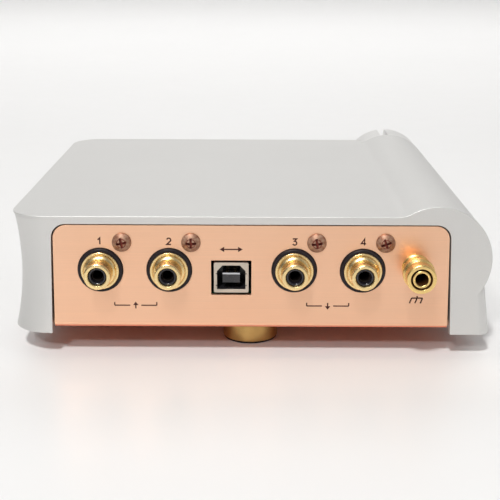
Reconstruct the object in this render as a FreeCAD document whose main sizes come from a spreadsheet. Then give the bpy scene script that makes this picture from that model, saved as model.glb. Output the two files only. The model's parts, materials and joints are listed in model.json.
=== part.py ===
import FreeCAD, Part
import math
import os
import Sketcher

# Desktop DAC with an aluminium top shell, a copper-coloured sheet chassis,
# four phono sockets, a USB-B socket and a ground terminal at the rear (+Y),
# a volume knob and a headphone socket at the front (-Y).
# Millimetres.  +Z up, origin under the middle of the case on the surface
# that the feet stand on.

V = FreeCAD.Vector
doc = FreeCAD.newDocument("DesktopDac")

# ---------------------------------------------------------------------------
# Driving dimensions
# ---------------------------------------------------------------------------
DIMS = [
    # case
    ("rear_plane", 67.0), ("case_depth", 137.0), ("drum_depth", 130.9),
    ("case_floor", 7.57), ("case_top", 45.71), ("plate_lip", 0.6),
    ("half_top", 75.0), ("half_foot", 76.0), ("half_shoulder", 74.95),
    ("side_sweep", 85.7), ("corner_big", 12.0), ("corner_plate", 11.0),
    ("corner_small", 4.0), ("west_shoulder", 72.7),
    ("drum_x", -57.85), ("drum_z", 31.75), ("drum_radius", 17.25),
    ("fairing_radius", 8.0), ("fairing_x", -45.32),
    ("fairing_tx", -49.293), ("fairing_tz", 46.734),
    ("drum_root_x", -45.65), ("drum_root_z", 19.55),
    ("cavity_east", 70.5), ("cavity_west", -64.0), ("cavity_end", 3.2),
    ("cavity_front", 133.8), ("cavity_roof", 43.22), ("cavity_corner", 8.5),
    ("cavity_step_x", -37.0), ("cavity_step_y", 127.5),
    ("side_cell_west", -70.2), ("side_cell_roof", 38.5),
    ("open_half_e", 61.62), ("open_foot_e", 62.56), ("open_half_w", 61.90),
    ("open_foot_w", 63.10), ("open_corner", 4.5),
    ("front_open_west", -35.6), ("recess_radius", 17.75),
    ("bushing_hole", 4.6), ("boss_x", 66.6), ("boss_rear_y", -30.0),
    ("boss_front_y", -108.0), ("boss_half", 4.2), ("boss_floor", 11.15),
    ("boss_pilot", 1.2),
    # sheet chassis
    ("sheet", 1.6), ("tray_floor", 9.45), ("bend_out", 2.0), ("bend_in", 0.4),
    ("panel_top", 42.92), ("panel_half_e", 61.08), ("panel_foot_e", 61.68),
    ("panel_half_w", 61.43), ("panel_foot_w", 62.13),
    ("panel_corner", 4.2), ("front_panel_west", -35.25),
    ("wing_east", 70.1), ("wing_west", -69.8), ("wing_rear", 3.7),
    ("wing_front", 133.3), ("wing_step_y", 126.9), ("wing_step_x", -36.4),
    ("wing_corner", 8.1),
    # phono sockets
    ("phono_z", 28.6), ("phono_x1", 46.66), ("phono_x2", 25.24),
    ("phono_x3", -13.65), ("phono_x4", -34.92),
    ("boss_ring", 6.95), ("boss_proud", 0.9), ("phono_hole", 7.15),
    ("flange_radius", 5.9), ("flange_front", 1.55), ("collar_radius", 5.05),
    ("collar_front", 2.3), ("barrel_radius", 4.15), ("barrel_front", 8.0),
    ("barrel_bore", 2.83), ("liner_radius", 2.8), ("liner_bore", 1.98),
    ("contact_outer", 1.95), ("contact_bore", 1.65), ("tail_radius", 4.6),
    ("screw_dx", -6.85), ("screw_dz", 8.93), ("screw_head", 2.98),
    ("screw_shank", 1.45), ("screw_hole", 1.7),
    # usb socket
    ("usb_x", 5.97), ("usb_z", 26.15), ("usb_half_w", 5.42), ("usb_half_z", 4.88),
    ("usb_cut_w", 6.28), ("usb_cut_z", 5.63), ("usb_wall", 0.45),
    ("usb_depth", 16.0),
    # ground terminal
    ("ground_x", -51.33), ("ground_z", 29.79), ("post_radius", 2.72),
    ("post_bore", 1.98), ("post_front", 13.0), ("nut_bore", 3.0),
    ("nut_face", 4.55), ("nut_flange", 4.95), ("nut_waist", 4.25),
    # volume control
    ("knob_radius", 17.1), ("knob_rear", 2.8), ("knob_front", 13.0),
    ("pointer_top", 1.75), ("pointer_root", 0.95), ("pointer_depth", 3.0),
    ("shaft_radius", 3.0), ("pot_half", 6.3),
    # headphone socket
    ("phones_x", 40.0), ("phones_z", 27.6), ("phones_bore", 3.2),
    # boards and feet
    ("board_under", 19.0), ("board_thick", 1.6),
    ("foot_radius", 9.0), ("foot_x", 50.0), ("foot_rear_y", 47.0),
    ("foot_front_y", -50.0), ("pad_thick", 0.6),
]
sheet = doc.addObject("Spreadsheet::Sheet", "Dims")
VALUE = {}
for row, (name, value) in enumerate(DIMS, start=1):
    sheet.set("A%d" % row, name)
    sheet.set("B%d" % row, "%.6g" % value)
    sheet.setAlias("B%d" % row, name)
    VALUE[name] = float("%.6g" % value)
doc.recompute()


class Size:
    """A number together with the spreadsheet expression that gives it."""

    def __init__(self, text, value):
        self.text = text
        self.value = float(value)

    def _other(self, o):
        return o if isinstance(o, Size) else Size("%.6g" % float(o) if float(o) >= 0 else "(%.6g)" % float(o), o)

    def __add__(self, o):
        o = self._other(o)
        return Size("(%s + %s)" % (self.text, o.text), self.value + o.value)

    def __radd__(self, o):
        return self._other(o) + self

    def __sub__(self, o):
        o = self._other(o)
        return Size("(%s - %s)" % (self.text, o.text), self.value - o.value)

    def __rsub__(self, o):
        return self._other(o) - self

    def __mul__(self, o):
        o = self._other(o)
        return Size("(%s * %s)" % (self.text, o.text), self.value * o.value)

    def __rmul__(self, o):
        return self._other(o) * self

    def __truediv__(self, o):
        o = self._other(o)
        return Size("(%s / %s)" % (self.text, o.text), self.value / o.value)

    def __neg__(self):
        return Size("(0 - %s)" % self.text, -self.value)


def d(name):
    return Size("Dims." + name, VALUE[name])


def num(q):
    return q.value if isinstance(q, Size) else float(q)


def bind(obj, prop, q):
    """Give a property its value and, where it comes from the sheet, its expression."""
    if isinstance(q, Size):
        obj.setExpression(prop, q.text)


# ---------------------------------------------------------------------------
# Sketch and feature helpers
# ---------------------------------------------------------------------------
def plane(body, role):
    return [o for o in body.Origin.OriginFeatures if o.Role == role][0]


def make_body(name):
    body = doc.addObject("PartDesign::Body", name)
    body.Label = name
    return body


def place(body, x=0.0, y=0.0, z=0.0, axis=None, angle=0.0):
    rot = FreeCAD.Rotation(V(*axis), angle) if axis else FreeCAD.Rotation()
    body.Placement = FreeCAD.Placement(V(num(x), num(y), num(z)), rot)
    for key, q in (("x", x), ("y", y), ("z", z)):
        bind(body, "Placement.Base." + key, q)


def put_point(sk, geo, pos, x, y):
    for q, kind, axis in ((x, "DistanceX", -2), (y, "DistanceY", -1)):
        if not isinstance(q, Size) and abs(float(q)) < 1e-9:
            sk.addConstraint(Sketcher.Constraint("PointOnObject", geo, pos, axis))
            continue
        k = sk.addConstraint(Sketcher.Constraint(kind, -1, 1, geo, pos, num(q)))
        bind(sk, "Constraints[%d]" % k, q)


def draw_loop(sk, pts):
    """Closed outline.  Each vertex is (x, y) or (x, y, radius, turn); the
    radius and turn (+1 anticlockwise, -1 clockwise, +-2 the long way round)
    describe the arc that leaves it."""
    n = len(pts)
    ends = []
    first = len(sk.Geometry)
    arcs = []
    for i in range(n):
        a, b = pts[i], pts[(i + 1) % n]
        ax, ay, bx, by = num(a[0]), num(a[1]), num(b[0]), num(b[1])
        if len(a) == 2:
            sk.addGeometry(Part.LineSegment(V(ax, ay, 0), V(bx, by, 0)), False)
            ends.append((1, 2))
            continue
        r, turn = num(a[2]), a[3]
        dx, dy = bx - ax, by - ay
        dist = math.hypot(dx, dy)
        rise = math.sqrt(max(r * r - dist * dist / 4.0, 0.0))
        side = 1.0 if turn > 0 else -1.0
        if abs(turn) == 2:
            side = -side
        cx = (ax + bx) / 2.0 - side * dy / dist * rise
        cy = (ay + by) / 2.0 + side * dx / dist * rise
        a0 = math.atan2(ay - cy, ax - cx)
        a1 = math.atan2(by - cy, bx - cx)
        if turn < 0:
            a0, a1 = a1, a0
        while a1 <= a0:
            a1 += 2 * math.pi
        sk.addGeometry(Part.ArcOfCircle(Part.Circle(V(cx, cy, 0), V(0, 0, 1), r), a0, a1), False)
        ends.append((1, 2) if turn > 0 else (2, 1))
        arcs.append((first + i, a[2]))
    for i in range(n):
        j = (i + 1) % n
        sk.addConstraint(Sketcher.Constraint("Coincident", first + i, ends[i][1], first + j, ends[j][0]))
    for i in range(n):
        put_point(sk, first + i, ends[i][0], pts[i][0], pts[i][1])
    for geo, r in arcs:
        k = sk.addConstraint(Sketcher.Constraint("Radius", geo, num(r)))
        bind(sk, "Constraints[%d]" % k, r)


def draw_circle(sk, x, y, r):
    geo = sk.addGeometry(Part.Circle(V(num(x), num(y), 0), V(0, 0, 1), num(r)), False)
    put_point(sk, geo, 3, x, y)
    k = sk.addConstraint(Sketcher.Constraint("Radius", geo, num(r)))
    bind(sk, "Constraints[%d]" % k, r)


def new_sketch(body, role, loops=(), circles=(), shift=0.0):
    sk = body.newObject("Sketcher::SketchObject", body.Name + "_Sketch")
    sk.AttachmentSupport = [(plane(body, role), "")]
    sk.MapMode = "FlatFace"
    if isinstance(shift, Size) or abs(float(shift)) > 1e-9:
        sk.AttachmentOffset = FreeCAD.Placement(V(0, 0, num(shift)), FreeCAD.Rotation())
        bind(sk, "AttachmentOffset.Base.z", shift)
    for pts in loops:
        draw_loop(sk, pts)
    for c in circles:
        draw_circle(sk, *c)
    return sk


def box_pts(x0, x1, y0, y1):
    return [(x0, y0), (x1, y0), (x1, y1), (x0, y1)]


def rounded_pts(x0, x1, y0, y1, r):
    return [(x0 + r, y0), (x1 - r, y0, r, 1), (x1, y0 + r), (x1, y1 - r, r, 1),
            (x1 - r, y1), (x0 + r, y1, r, 1), (x0, y1 - r), (x0, y0 + r, r, 1)]


def pad(body, sk, length, midplane=False, reverse=False):
    f = body.newObject("PartDesign::Pad", body.Name + "_Pad")
    f.Profile = sk
    f.Length = num(length)
    bind(f, "Length", length)
    if midplane:
        f.Midplane = True
    if reverse:
        f.Reversed = True
    return f


def pocket(body, sk, length, midplane=False, reverse=False):
    doc.recompute()
    before = body.Shape.Volume
    f = body.newObject("PartDesign::Pocket", body.Name + "_Pocket")
    f.Profile = sk
    f.Length = num(length)
    bind(f, "Length", length)
    if midplane:
        f.Midplane = True
    if reverse:
        f.Reversed = True
    doc.recompute()
    if not body.Shape.Volume < before - 1e-4:
        raise RuntimeError("a pocket of %s removes nothing" % body.Label)
    return f


def revolve(body, sk):
    f = body.newObject("PartDesign::Revolution", body.Name + "_Revolution")
    f.Profile = sk
    f.ReferenceAxis = (sk, ["V_Axis"])
    f.Angle = 360
    return f


def dress(body, kind, size, keep):
    """Fillet or chamfer every edge of the body that keep() accepts."""
    doc.recompute()
    base = body.Tip
    names = ["Edge%d" % (i + 1) for i, e in enumerate(base.Shape.Edges) if keep(e)]
    if not names:
        raise RuntimeError("no edge to dress on %s" % body.Label)
    f = body.newObject("PartDesign::" + kind, body.Name + "_" + kind)
    f.Base = (base, names)
    prop = "Radius" if kind == "Fillet" else "Size"
    setattr(f, prop, num(size))
    bind(f, prop, size)
    doc.recompute()
    return f


def polar(body, feature, axis_sketch, count):
    f = body.newObject("PartDesign::PolarPattern", body.Name + "_Pattern")
    f.Originals = [feature]
    f.Axis = (axis_sketch, ["N_Axis"])
    f.Angle = 360
    f.Occurrences = count
    body.Tip = f
    return f


NODES = []


def keep_node(label, obj):
    obj.Label = label
    NODES.append((label, obj))
    return obj


def turned(name, pts, upright=False):
    """Body turned about its own Y axis (or Z axis when upright) from (radius, along) points."""
    body = make_body(name)
    sk = new_sketch(body, "XZ_Plane" if upright else "XY_Plane", [pts])
    revolve(body, sk)
    return body


def slab(name, role, loops, length, circles=(), shift=0.0, midplane=False, reverse=False):
    body = make_body(name)
    sk = new_sketch(body, role, loops, circles, shift)
    pad(body, sk, length, midplane, reverse)
    return body


def group(label, bodies):
    c = doc.addObject("Part::Compound", label)
    c.Links = bodies
    return keep_node(label, c)


REAR = d("rear_plane")

# ---------------------------------------------------------------------------
# Top shell: one casting, open underneath, with a drum along its west edge
# ---------------------------------------------------------------------------
shell = make_body("top_shell")
sk = new_sketch(shell, "XZ_Plane", [[
    (-d("half_foot"), d("case_floor")),
    (d("half_foot"), d("case_floor"), d("side_sweep"), -1),
    (d("half_shoulder"), d("case_top") - d("plate_lip")),
    (d("drum_x"), d("case_top") - d("plate_lip")),
    (d("drum_x"), d("drum_z")),
    (-d("west_shoulder"), d("drum_z")),
]])
pad(shell, sk, d("case_depth"))


def upright_corner(side):
    def test(e):
        b = e.BoundBox
        at_end = (b.YMax - b.YMin) < 0.01 and (abs(b.YMax) < 0.01 or abs(b.YMax + VALUE["case_depth"]) < 0.01)
        return at_end and (b.ZMax - b.ZMin) > 20 and (b.XMin > 70 if side > 0 else b.XMax < -70)
    return test


dress(shell, "Fillet", d("corner_big"), upright_corner(+1))
dress(shell, "Fillet", d("corner_small"), upright_corner(-1))
# drum and its fairing into the flat top
sk = new_sketch(shell, "XZ_Plane", [[
    (d("fairing_x"), d("case_top"), d("fairing_radius"), -1),
    (d("fairing_tx"), d("fairing_tz"), d("drum_radius"), 2),
    (d("drum_root_x"), d("drum_root_z")),
]])
pad(shell, sk, d("drum_depth"))
# thin lip of the top plate, with a slightly tighter corner than the wall below it
sk = new_sketch(shell, "XY_Plane", [[
    (-50.0, 0.0),
    (-50.0, -d("case_depth")),
    (d("half_top") - d("corner_plate"), -d("case_depth"), d("corner_plate"), 1),
    (d("half_top"), d("corner_plate") - d("case_depth")),
    (d("half_top"), -d("corner_plate"), d("corner_plate"), 1),
    (d("half_top") - d("corner_plate"), 0.0),
]], shift=d("case_top") - d("plate_lip"))
pad(shell, sk, d("plate_lip"))
# inside of the case, cut from below
sk = new_sketch(shell, "XY_Plane", [[
    (d("cavity_west"), -d("cavity_end")),
    (d("cavity_west"), -d("cavity_step_y")),
    (d("cavity_step_x"), -d("cavity_step_y")),
    (d("cavity_step_x"), -d("cavity_front")),
    (d("cavity_east") - d("cavity_corner"), -d("cavity_front"), d("cavity_corner"), 1),
    (d("cavity_east"), d("cavity_corner") - d("cavity_front")),
    (d("cavity_east"), -d("cavity_end") - d("cavity_corner"), d("cavity_corner"), 1),
    (d("cavity_east") - d("cavity_corner"), -d("cavity_end")),
]], shift=d("cavity_roof"))
pocket(shell, sk, d("cavity_roof"))
sk = new_sketch(shell, "XY_Plane", [box_pts(d("side_cell_west"), -60.0, -d("cavity_step_y"), -d("cavity_end"))],
                shift=d("side_cell_roof"))
pocket(shell, sk, d("side_cell_roof"))
# rear opening, drafted outwards towards its open foot
sk = new_sketch(shell, "XZ_Plane", [[
    (-d("open_foot_w"), 5.0), (d("open_foot_e"), 5.0), (d("open_foot_e"), d("case_floor")),
    (d("open_half_e"), d("cavity_roof") - d("open_corner"), d("open_corner"), 1),
    (d("open_half_e") - d("open_corner"), d("cavity_roof")),
    (d("open_corner") - d("open_half_w"), d("cavity_roof"), d("open_corner"), 1),
    (-d("open_half_w"), d("cavity_roof") - d("open_corner")),
    (-d("open_foot_w"), d("case_floor")),
]], shift=d("cavity_end") + 1.0)
pocket(shell, sk, d("cavity_end") + 2.0)
# front opening beside the drum
sk = new_sketch(shell, "XZ_Plane", [[
    (d("front_open_west"), 5.0), (d("open_foot_e"), 5.0), (d("open_foot_e"), d("case_floor")),
    (d("open_half_e"), d("cavity_roof") - d("open_corner"), d("open_corner"), 1),
    (d("open_half_e") - d("open_corner"), d("cavity_roof")),
    (d("front_open_west") + d("open_corner"), d("cavity_roof"), d("open_corner"), 1),
    (d("front_open_west"), d("cavity_roof") - d("open_corner")),
]], shift=d("case_depth") + 1.0)
pocket(shell, sk, d("case_depth") - d("cavity_front") + 2.0)
# recess in front of the drum that the volume knob turns in
sk = new_sketch(shell, "XZ_Plane", [], [(d("drum_x"), d("drum_z"), d("recess_radius"))], shift=d("case_depth") + 1.0)
pocket(shell, sk, d("case_depth") - d("drum_depth") + 1.0)
# hole for the bushing of the volume control
sk = new_sketch(shell, "XZ_Plane", [], [(d("drum_x"), d("drum_z"), d("bushing_hole"))], shift=d("drum_depth") + 1.0)
pocket(shell, sk, 8.0)
# four bosses for the screws that hold the chassis
sk = new_sketch(shell, "XY_Plane", [
    box_pts(d("boss_x") - d("boss_half"), d("boss_x") + d("boss_half"), d("boss_rear_y") - d("boss_half"), d("boss_rear_y") + d("boss_half")),
    box_pts(d("boss_x") - d("boss_half"), d("boss_x") + d("boss_half"), d("boss_front_y") - d("boss_half"), d("boss_front_y") + d("boss_half")),
    box_pts(-d("boss_x") - d("boss_half"), d("boss_half") - d("boss_x"), d("boss_rear_y") - d("boss_half"), d("boss_rear_y") + d("boss_half")),
    box_pts(-d("boss_x") - d("boss_half"), d("boss_half") - d("boss_x"), d("boss_front_y") - d("boss_half"), d("boss_front_y") + d("boss_half")),
], shift=d("boss_floor"))
pad(shell, sk, d("side_cell_roof") + 0.5 - d("boss_floor"))
boss_centres = [(d("boss_x"), d("boss_rear_y")), (d("boss_x"), d("boss_front_y")),
                (-d("boss_x"), d("boss_rear_y")), (-d("boss_x"), d("boss_front_y"))]
sk = new_sketch(shell, "XY_Plane", [], [(x, y, d("boss_pilot")) for x, y in boss_centres],
                shift=d("boss_floor") + 9.0)
pocket(shell, sk, 12.0)
place(shell, 0.0, REAR, 0.0)
keep_node("top_shell", shell)

# ---------------------------------------------------------------------------
# Sheet chassis: rear panel, floor and front panel bent from one sheet
# ---------------------------------------------------------------------------
tray = make_body("chassis_sheet")
t, zf, ro, ri, dep = d("sheet"), d("tray_floor"), d("bend_out"), d("bend_in"), d("case_depth")
sk = new_sketch(tray, "YZ_Plane", [[
    (0.0, d("panel_top")),
    (-t, d("panel_top")),
    (-t, zf + ro, ri, -1),
    (-ro, zf + t),
    (ro - dep, zf + t, ri, -1),
    (t - dep, zf + ro),
    (t - dep, d("panel_top")),
    (-dep, d("panel_top")),
    (-dep, zf + ro, ro, 1),
    (ro - dep, zf),
    (-ro, zf, ro, 1),
    (0.0, zf + ro),
]], shift=(d("panel_foot_e") - d("panel_foot_w")) * 0.5)
pad(tray, sk, d("panel_foot_e") + d("panel_foot_w"), midplane=True)
# wings of the floor, under the side walls
sk = new_sketch(tray, "XY_Plane", [[
    (d("wing_west"), -d("wing_rear")),
    (d("wing_west"), -d("wing_step_y")),
    (-55.0, -d("wing_step_y")),
    (-30.0, -d("wing_step_y")),
    (-30.0, -d("wing_front")),
    (d("wing_east") - d("wing_corner"), -d("wing_front"), d("wing_corner"), 1),
    (d("wing_east"), d("wing_corner") - d("wing_front")),
    (d("wing_east"), -d("wing_rear") - d("wing_corner"), d("wing_corner"), 1),
    (d("wing_east") - d("wing_corner"), -d("wing_rear")),
]], shift=zf)
pad(tray, sk, t)
# rear panel edges: slight draft and rounded top corners
for s, half, foot in ((1.0, d("panel_half_e"), d("panel_foot_e")), (-1.0, d("panel_half_w"), d("panel_foot_w"))):
    turn = -1 if s > 0 else 1
    sk = new_sketch(tray, "XZ_Plane", [[
        (s * foot, zf + ro),
        (s * 80.0, zf + ro),
        (s * 80.0, 50.0),
        (s * (half - d("panel_corner")), 50.0),
        (s * (half - d("panel_corner")), d("panel_top"), d("panel_corner"), turn),
        (s * half, d("panel_top") - d("panel_corner")),
    ]], shift=t + 0.3)
    pocket(tray, sk, t + 1.0)
# front panel: only beside the drum
sk = new_sketch(tray, "XZ_Plane", [[
    (-80.0, 5.0), (d("front_panel_west"), 5.0),
    (d("front_panel_west"), d("panel_top") - d("panel_corner"), d("panel_corner"), -1),
    (d("front_panel_west") + d("panel_corner"), d("panel_top")),
    (d("front_panel_west") + d("panel_corner"), 50.0), (-80.0, 50.0),
]], shift=dep + 1.0)
pocket(tray, sk, t + 1.3)
sk = new_sketch(tray, "XZ_Plane", [[
    (d("panel_foot_e"), zf + ro), (80.0, zf + ro), (80.0, 50.0),
    (d("panel_half_e") - d("panel_corner"), 50.0),
    (d("panel_half_e") - d("panel_corner"), d("panel_top"), d("panel_corner"), -1),
    (d("panel_half_e"), d("panel_top") - d("panel_corner")),
]], shift=dep + 1.0)
pocket(tray, sk, t + 1.3)
sk = new_sketch(tray, "XY_Plane", [[
    (-80.0, -dep - 1.0), (d("front_panel_west"), -dep - 1.0), (d("front_panel_west"), -d("wing_front")),
    (d("wing_step_x"), -d("wing_front")), (d("wing_step_x"), -d("wing_step_y")), (-80.0, -d("wing_step_y")),
]], shift=zf + 5.0)
pocket(tray, sk, 6.0)
# holes of the rear panel
PHONO = [("out_right", d("phono_x1")), ("out_left", d("phono_x2")), ("in_right", d("phono_x3")), ("in_left", d("phono_x4"))]
rear_holes = [(x, d("phono_z"), d("phono_hole")) for _, x in PHONO]
rear_holes += [(x + d("screw_dx"), d("phono_z") + d("screw_dz"), d("screw_hole")) for _, x in PHONO]
rear_holes += [(d("ground_x"), d("ground_z"), d("post_radius") + 0.2)]
sk = new_sketch(tray, "XZ_Plane",
                [rounded_pts(d("usb_x") - d("usb_cut_w"), d("usb_x") + d("usb_cut_w"),
                             d("usb_z") - d("usb_cut_z"), d("usb_z") + d("usb_cut_z"), 0.3)],
                rear_holes, shift=t + 0.4)
pocket(tray, sk, t + 1.2)
# holes of the front panel: headphone socket and status lens
sk = new_sketch(tray, "XZ_Plane", [], [(d("phones_x"), d("phones_z"), 5.6), (-22.0, d("phones_z"), 1.65)], shift=dep + 0.8)
pocket(tray, sk, t + 1.2)
# holes of the floor: feet, board posts, chassis screws
FEET = [("foot_rear", 0.0, d("foot_rear_y")), ("foot_front_left", d("foot_x"), d("foot_front_y")),
        ("foot_front_right", -d("foot_x"), d("foot_front_y"))]
POSTS = [(-50.0, -21.0), (50.0, -21.0), (-50.0, -74.0), (50.0, -74.0), (-28.0, -122.0), (22.0, -122.0)]
floor_holes = [(x, y - REAR, 1.75) for _, x, y in FEET]
floor_holes += [(x, y, 1.6) for x, y in POSTS]
floor_holes += [(x, y, 1.75) for x, y in boss_centres]
sk = new_sketch(tray, "XY_Plane", [], floor_holes, shift=zf + t + 0.5)
pocket(tray, sk, t + 1.0)
place(tray, 0.0, REAR, 0.0)


def share(label, body, y_from, y_to):
    """The share of a body between two planes square to Y, as a node of its own."""
    region = doc.addObject("Part::Box", label + "_region")
    region.Length, region.Width, region.Height = 200.0, num(y_to - y_from), 60.0
    region.Placement.Base = FreeCAD.Vector(-100.0, num(y_from), -5.0)
    bind(region, "Width", y_to - y_from)
    bind(region, ".Placement.Base.y", y_from)
    cut = doc.addObject("Part::Common", label)
    cut.Base, cut.Tool = body, region
    return keep_node(label, cut)


# one folded sheet, kept as its three walls
share("chassis_rear_panel", tray, REAR - ro, REAR + 5.0)
share("chassis_floor", tray, REAR - dep + ro, REAR - ro)
share("chassis_front_panel", tray, REAR - dep - 5.0, REAR - dep + ro)


# ---------------------------------------------------------------------------
# Cross-head screw: domed head at the origin side, shank along -local Y
# ---------------------------------------------------------------------------
def cross_screw(name, head_r, head_h, shank_r, shank_l, upright=False):
    body = turned(name, [
        (0.0, -shank_l), (shank_r - 0.3, -shank_l), (shank_r, 0.4 - shank_l), (shank_r, 0.0),
        (head_r, 0.0), (head_r, 0.45), (head_r - 0.12, 0.75, head_r * 2.0, 1), (0.0, head_h),
    ], upright)
    w, l, deep = 0.36, num(head_r) * 0.56, 1.2
    role = "XZ_Plane" if not upright else "XY_Plane"
    # a slightly tapered cross, cut from the top of the head
    cross = [(-w, l), (-w, w), (-l, w), (-l, -w), (-w, -w), (-w, -l), (w, -l), (w, -w), (l, -w), (l, w), (w, w), (w, l)]
    if upright:
        sk = new_sketch(body, role, [cross], shift=num(head_h) + 0.1)
        pocket(body, sk, deep)
    else:
        sk = new_sketch(body, role, [cross], shift=-(num(head_h) - deep))
        pocket(body, sk, deep + 0.2)
    return body


# ---------------------------------------------------------------------------
# Phono sockets
# ---------------------------------------------------------------------------
for label, x in PHONO:
    # black moulded housing: block on the board, ear for the panel screw,
    # and a round boss that comes through the panel
    h = make_body("rca_housing_" + label)
    sk = new_sketch(h, "XZ_Plane", [box_pts(-6.9, 6.9, -7.95, 7.2)], shift=t + 0.1)
    pad(h, sk, 13.2)
    sk = new_sketch(h, "XZ_Plane", [box_pts(d("screw_dx") - 3.2, d("screw_dx") + 5.0, 2.0, d("screw_dz") + 3.0)], shift=t + 0.1)
    pad(h, sk, 6.6)
    sk = new_sketch(h, "XZ_Plane", [], [(0.0, 0.0, d("boss_ring"))], shift=-d("boss_proud"))
    pad(h, sk, t + 1.6)
    dress(h, "Chamfer", 0.25, lambda e: abs(e.BoundBox.YMin - VALUE["boss_proud"]) < 1e-3 and e.BoundBox.YMax - e.BoundBox.YMin < 1e-3)
    sk = new_sketch(h, "XZ_Plane", [], [(0.0, 0.0, d("tail_radius") + 0.02)], shift=12.0)
    pocket(h, sk, 14.0)
    sk = new_sketch(h, "XZ_Plane", [], [(d("screw_dx"), d("screw_dz"), d("screw_shank") + 0.02)], shift=8.0)
    pocket(h, sk, 8.0)
    place(h, x, REAR, d("phono_z"))
    keep_node("rca_housing_" + label, h)
    # gold shell: flange, stepped collar and barrel
    s = turned("rca_shell_" + label, [
        (d("barrel_bore"), -11.5), (d("tail_radius"), -11.5), (d("tail_radius"), d("boss_proud") + 0.02),
        (d("flange_radius"), d("boss_proud") + 0.02), (d("flange_radius"), d("flange_front") - 0.2, 0.2, 1),
        (d("flange_radius") - 0.2, d("flange_front")), (d("collar_radius") + 0.2, d("flange_front")),
        (d("collar_radius") + 0.2, d("flange_front") - 0.3), (d("collar_radius"), d("flange_front") - 0.3),
        (d("collar_radius"), d("flange_front") + 0.05, 1.6, 1), (d("barrel_radius") + 0.1, d("collar_front")),
        (d("barrel_radius"), d("collar_front") + 0.1), (d("barrel_radius"), d("barrel_front") - 0.8, 0.8, 1),
        (d("barrel_radius") - 0.8, d("barrel_front")), (d("barrel_bore") + 0.2, d("barrel_front")),
        (d("barrel_bore"), d("barrel_front") - 0.25),
    ])
    place(s, x, REAR, d("phono_z"))
    keep_node("rca_shell_" + label, s)
    # black liner inside the barrel
    p = turned("rca_insulator_" + label, [
        (d("liner_bore"), -11.0), (d("liner_radius"), -11.0), (d("liner_radius"), d("barrel_front") - 1.1, 0.4, 1),
        (d("liner_radius") - 0.4, d("barrel_front") - 0.7), (d("liner_bore") + 0.0, d("barrel_front") - 0.7),
    ])
    place(p, x, REAR, d("phono_z"))
    keep_node("rca_insulator_" + label, p)
    # centre contact sleeve with a solder tail
    c = turned("rca_contact_" + label, [
        (0.0, -11.9), (0.9, -11.9), (0.9, -10.0), (d("contact_outer"), -9.5), (d("contact_outer"), d("barrel_front") - 2.6),
        (d("contact_bore") + 0.15, d("barrel_front") - 2.4), (d("contact_bore"), d("barrel_front") - 2.6), (d("contact_bore"), -7.5),
        (0.0, -8.5),
    ])
    place(c, x, REAR, d("phono_z"))
    keep_node("rca_contact_" + label, c)

screw_turn = [12.0, 0.0, 8.0, 20.0]
screws = []
for (label, x), a in zip(PHONO, screw_turn):
    b = cross_screw("jack_screw_" + label, d("screw_head"), 1.9, d("screw_shank"), 7.2)
    place(b, x + d("screw_dx"), REAR + 0.02, d("phono_z") + d("screw_dz"), (0, 1, 0), a)
    screws.append(b)
group("jack_screws", screws)

# ---------------------------------------------------------------------------
# USB socket: folded metal shell, moulded insert with its tongue, contacts
# ---------------------------------------------------------------------------
uw, uz, uwall = d("usb_half_w"), d("usb_half_z"), d("usb_wall")
b = make_body("usb_shell")
sk = new_sketch(b, "XZ_Plane", [rounded_pts(-uw, uw, -uz, uz, 0.5)], shift=0.15)
pad(b, sk, d("usb_depth"))
sk = new_sketch(b, "XZ_Plane", [box_pts(uwall - uw, uw - uwall, uwall - uz, uz - uwall)], shift=d("usb_depth") + 0.3)
pocket(b, sk, d("usb_depth") - uwall + 0.15)
# D-shaped mouth with four small nicks where its contact springs are cut free
D_OUT = [(-4.45, -3.82), (4.45, -3.82), (4.45, -2.75), (4.82, -2.75), (4.82, -2.40), (4.45, -2.40),
         (4.45, 1.05), (4.82, 1.05), (4.82, 1.40), (4.45, 1.40), (4.45, 2.1), (2.74, 3.95), (-2.74, 3.95), (-4.45, 2.1),
         (-4.45, 1.40), (-4.82, 1.40), (-4.82, 1.05), (-4.45, 1.05), (-4.45, -2.40), (-4.82, -2.40), (-4.82, -2.75), (-4.45, -2.75)]
sk = new_sketch(b, "XZ_Plane", [D_OUT], shift=1.5)
pocket(b, sk, 2.0)
place(b, d("usb_x"), REAR, d("usb_z"))
keep_node("usb_shell", b)

b = make_body("usb_insert")
sk = new_sketch(b, "XZ_Plane", [box_pts(uwall - uw + 0.03, uw - uwall - 0.03, uwall - uz + 0.03, uz - uwall - 0.03)], shift=0.15 + uwall + 0.03)
pad(b, sk, d("usb_depth") - 0.6)
D_IN = [(-4.36, -3.77), (4.36, -3.77), (4.36, 2.08), (2.67, 3.89), (-2.67, 3.89), (-4.36, 2.08)]
sk = new_sketch(b, "XZ_Plane", [D_IN, box_pts(-2.7, 2.7, -1.7, 1.35)], shift=10.5)
pocket(b, sk, 11.0)
# contact slots of the tongue
sk = new_sketch(b, "XZ_Plane", [box_pts(-1.75, -0.75, 0.85, 1.5), box_pts(0.75, 1.75, 0.85, 1.5),
                                box_pts(-1.75, -0.75, -2.1, -1.5), box_pts(0.75, 1.75, -2.1, -1.5)], shift=10.0)
pocket(b, sk, 8.4)
place(b, d("usb_x"), REAR, d("usb_z"))
keep_node("usb_insert", b)

pins = []
for k, (px, pz) in enumerate([(-1.25, 1.03), (1.25, 1.03), (-1.25, -1.68), (1.25, -1.68)]):
    b = make_body("usb_contact_%d" % (k + 1))
    sk = new_sketch(b, "XZ_Plane", [box_pts(px - 0.45, px + 0.45, pz - 0.18, pz + 0.18)], shift=2.2)
    pad(b, sk, 7.7)
    place(b, d("usb_x"), REAR, d("usb_z"))
    pins.append(b)
group("usb_contacts", pins)

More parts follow.
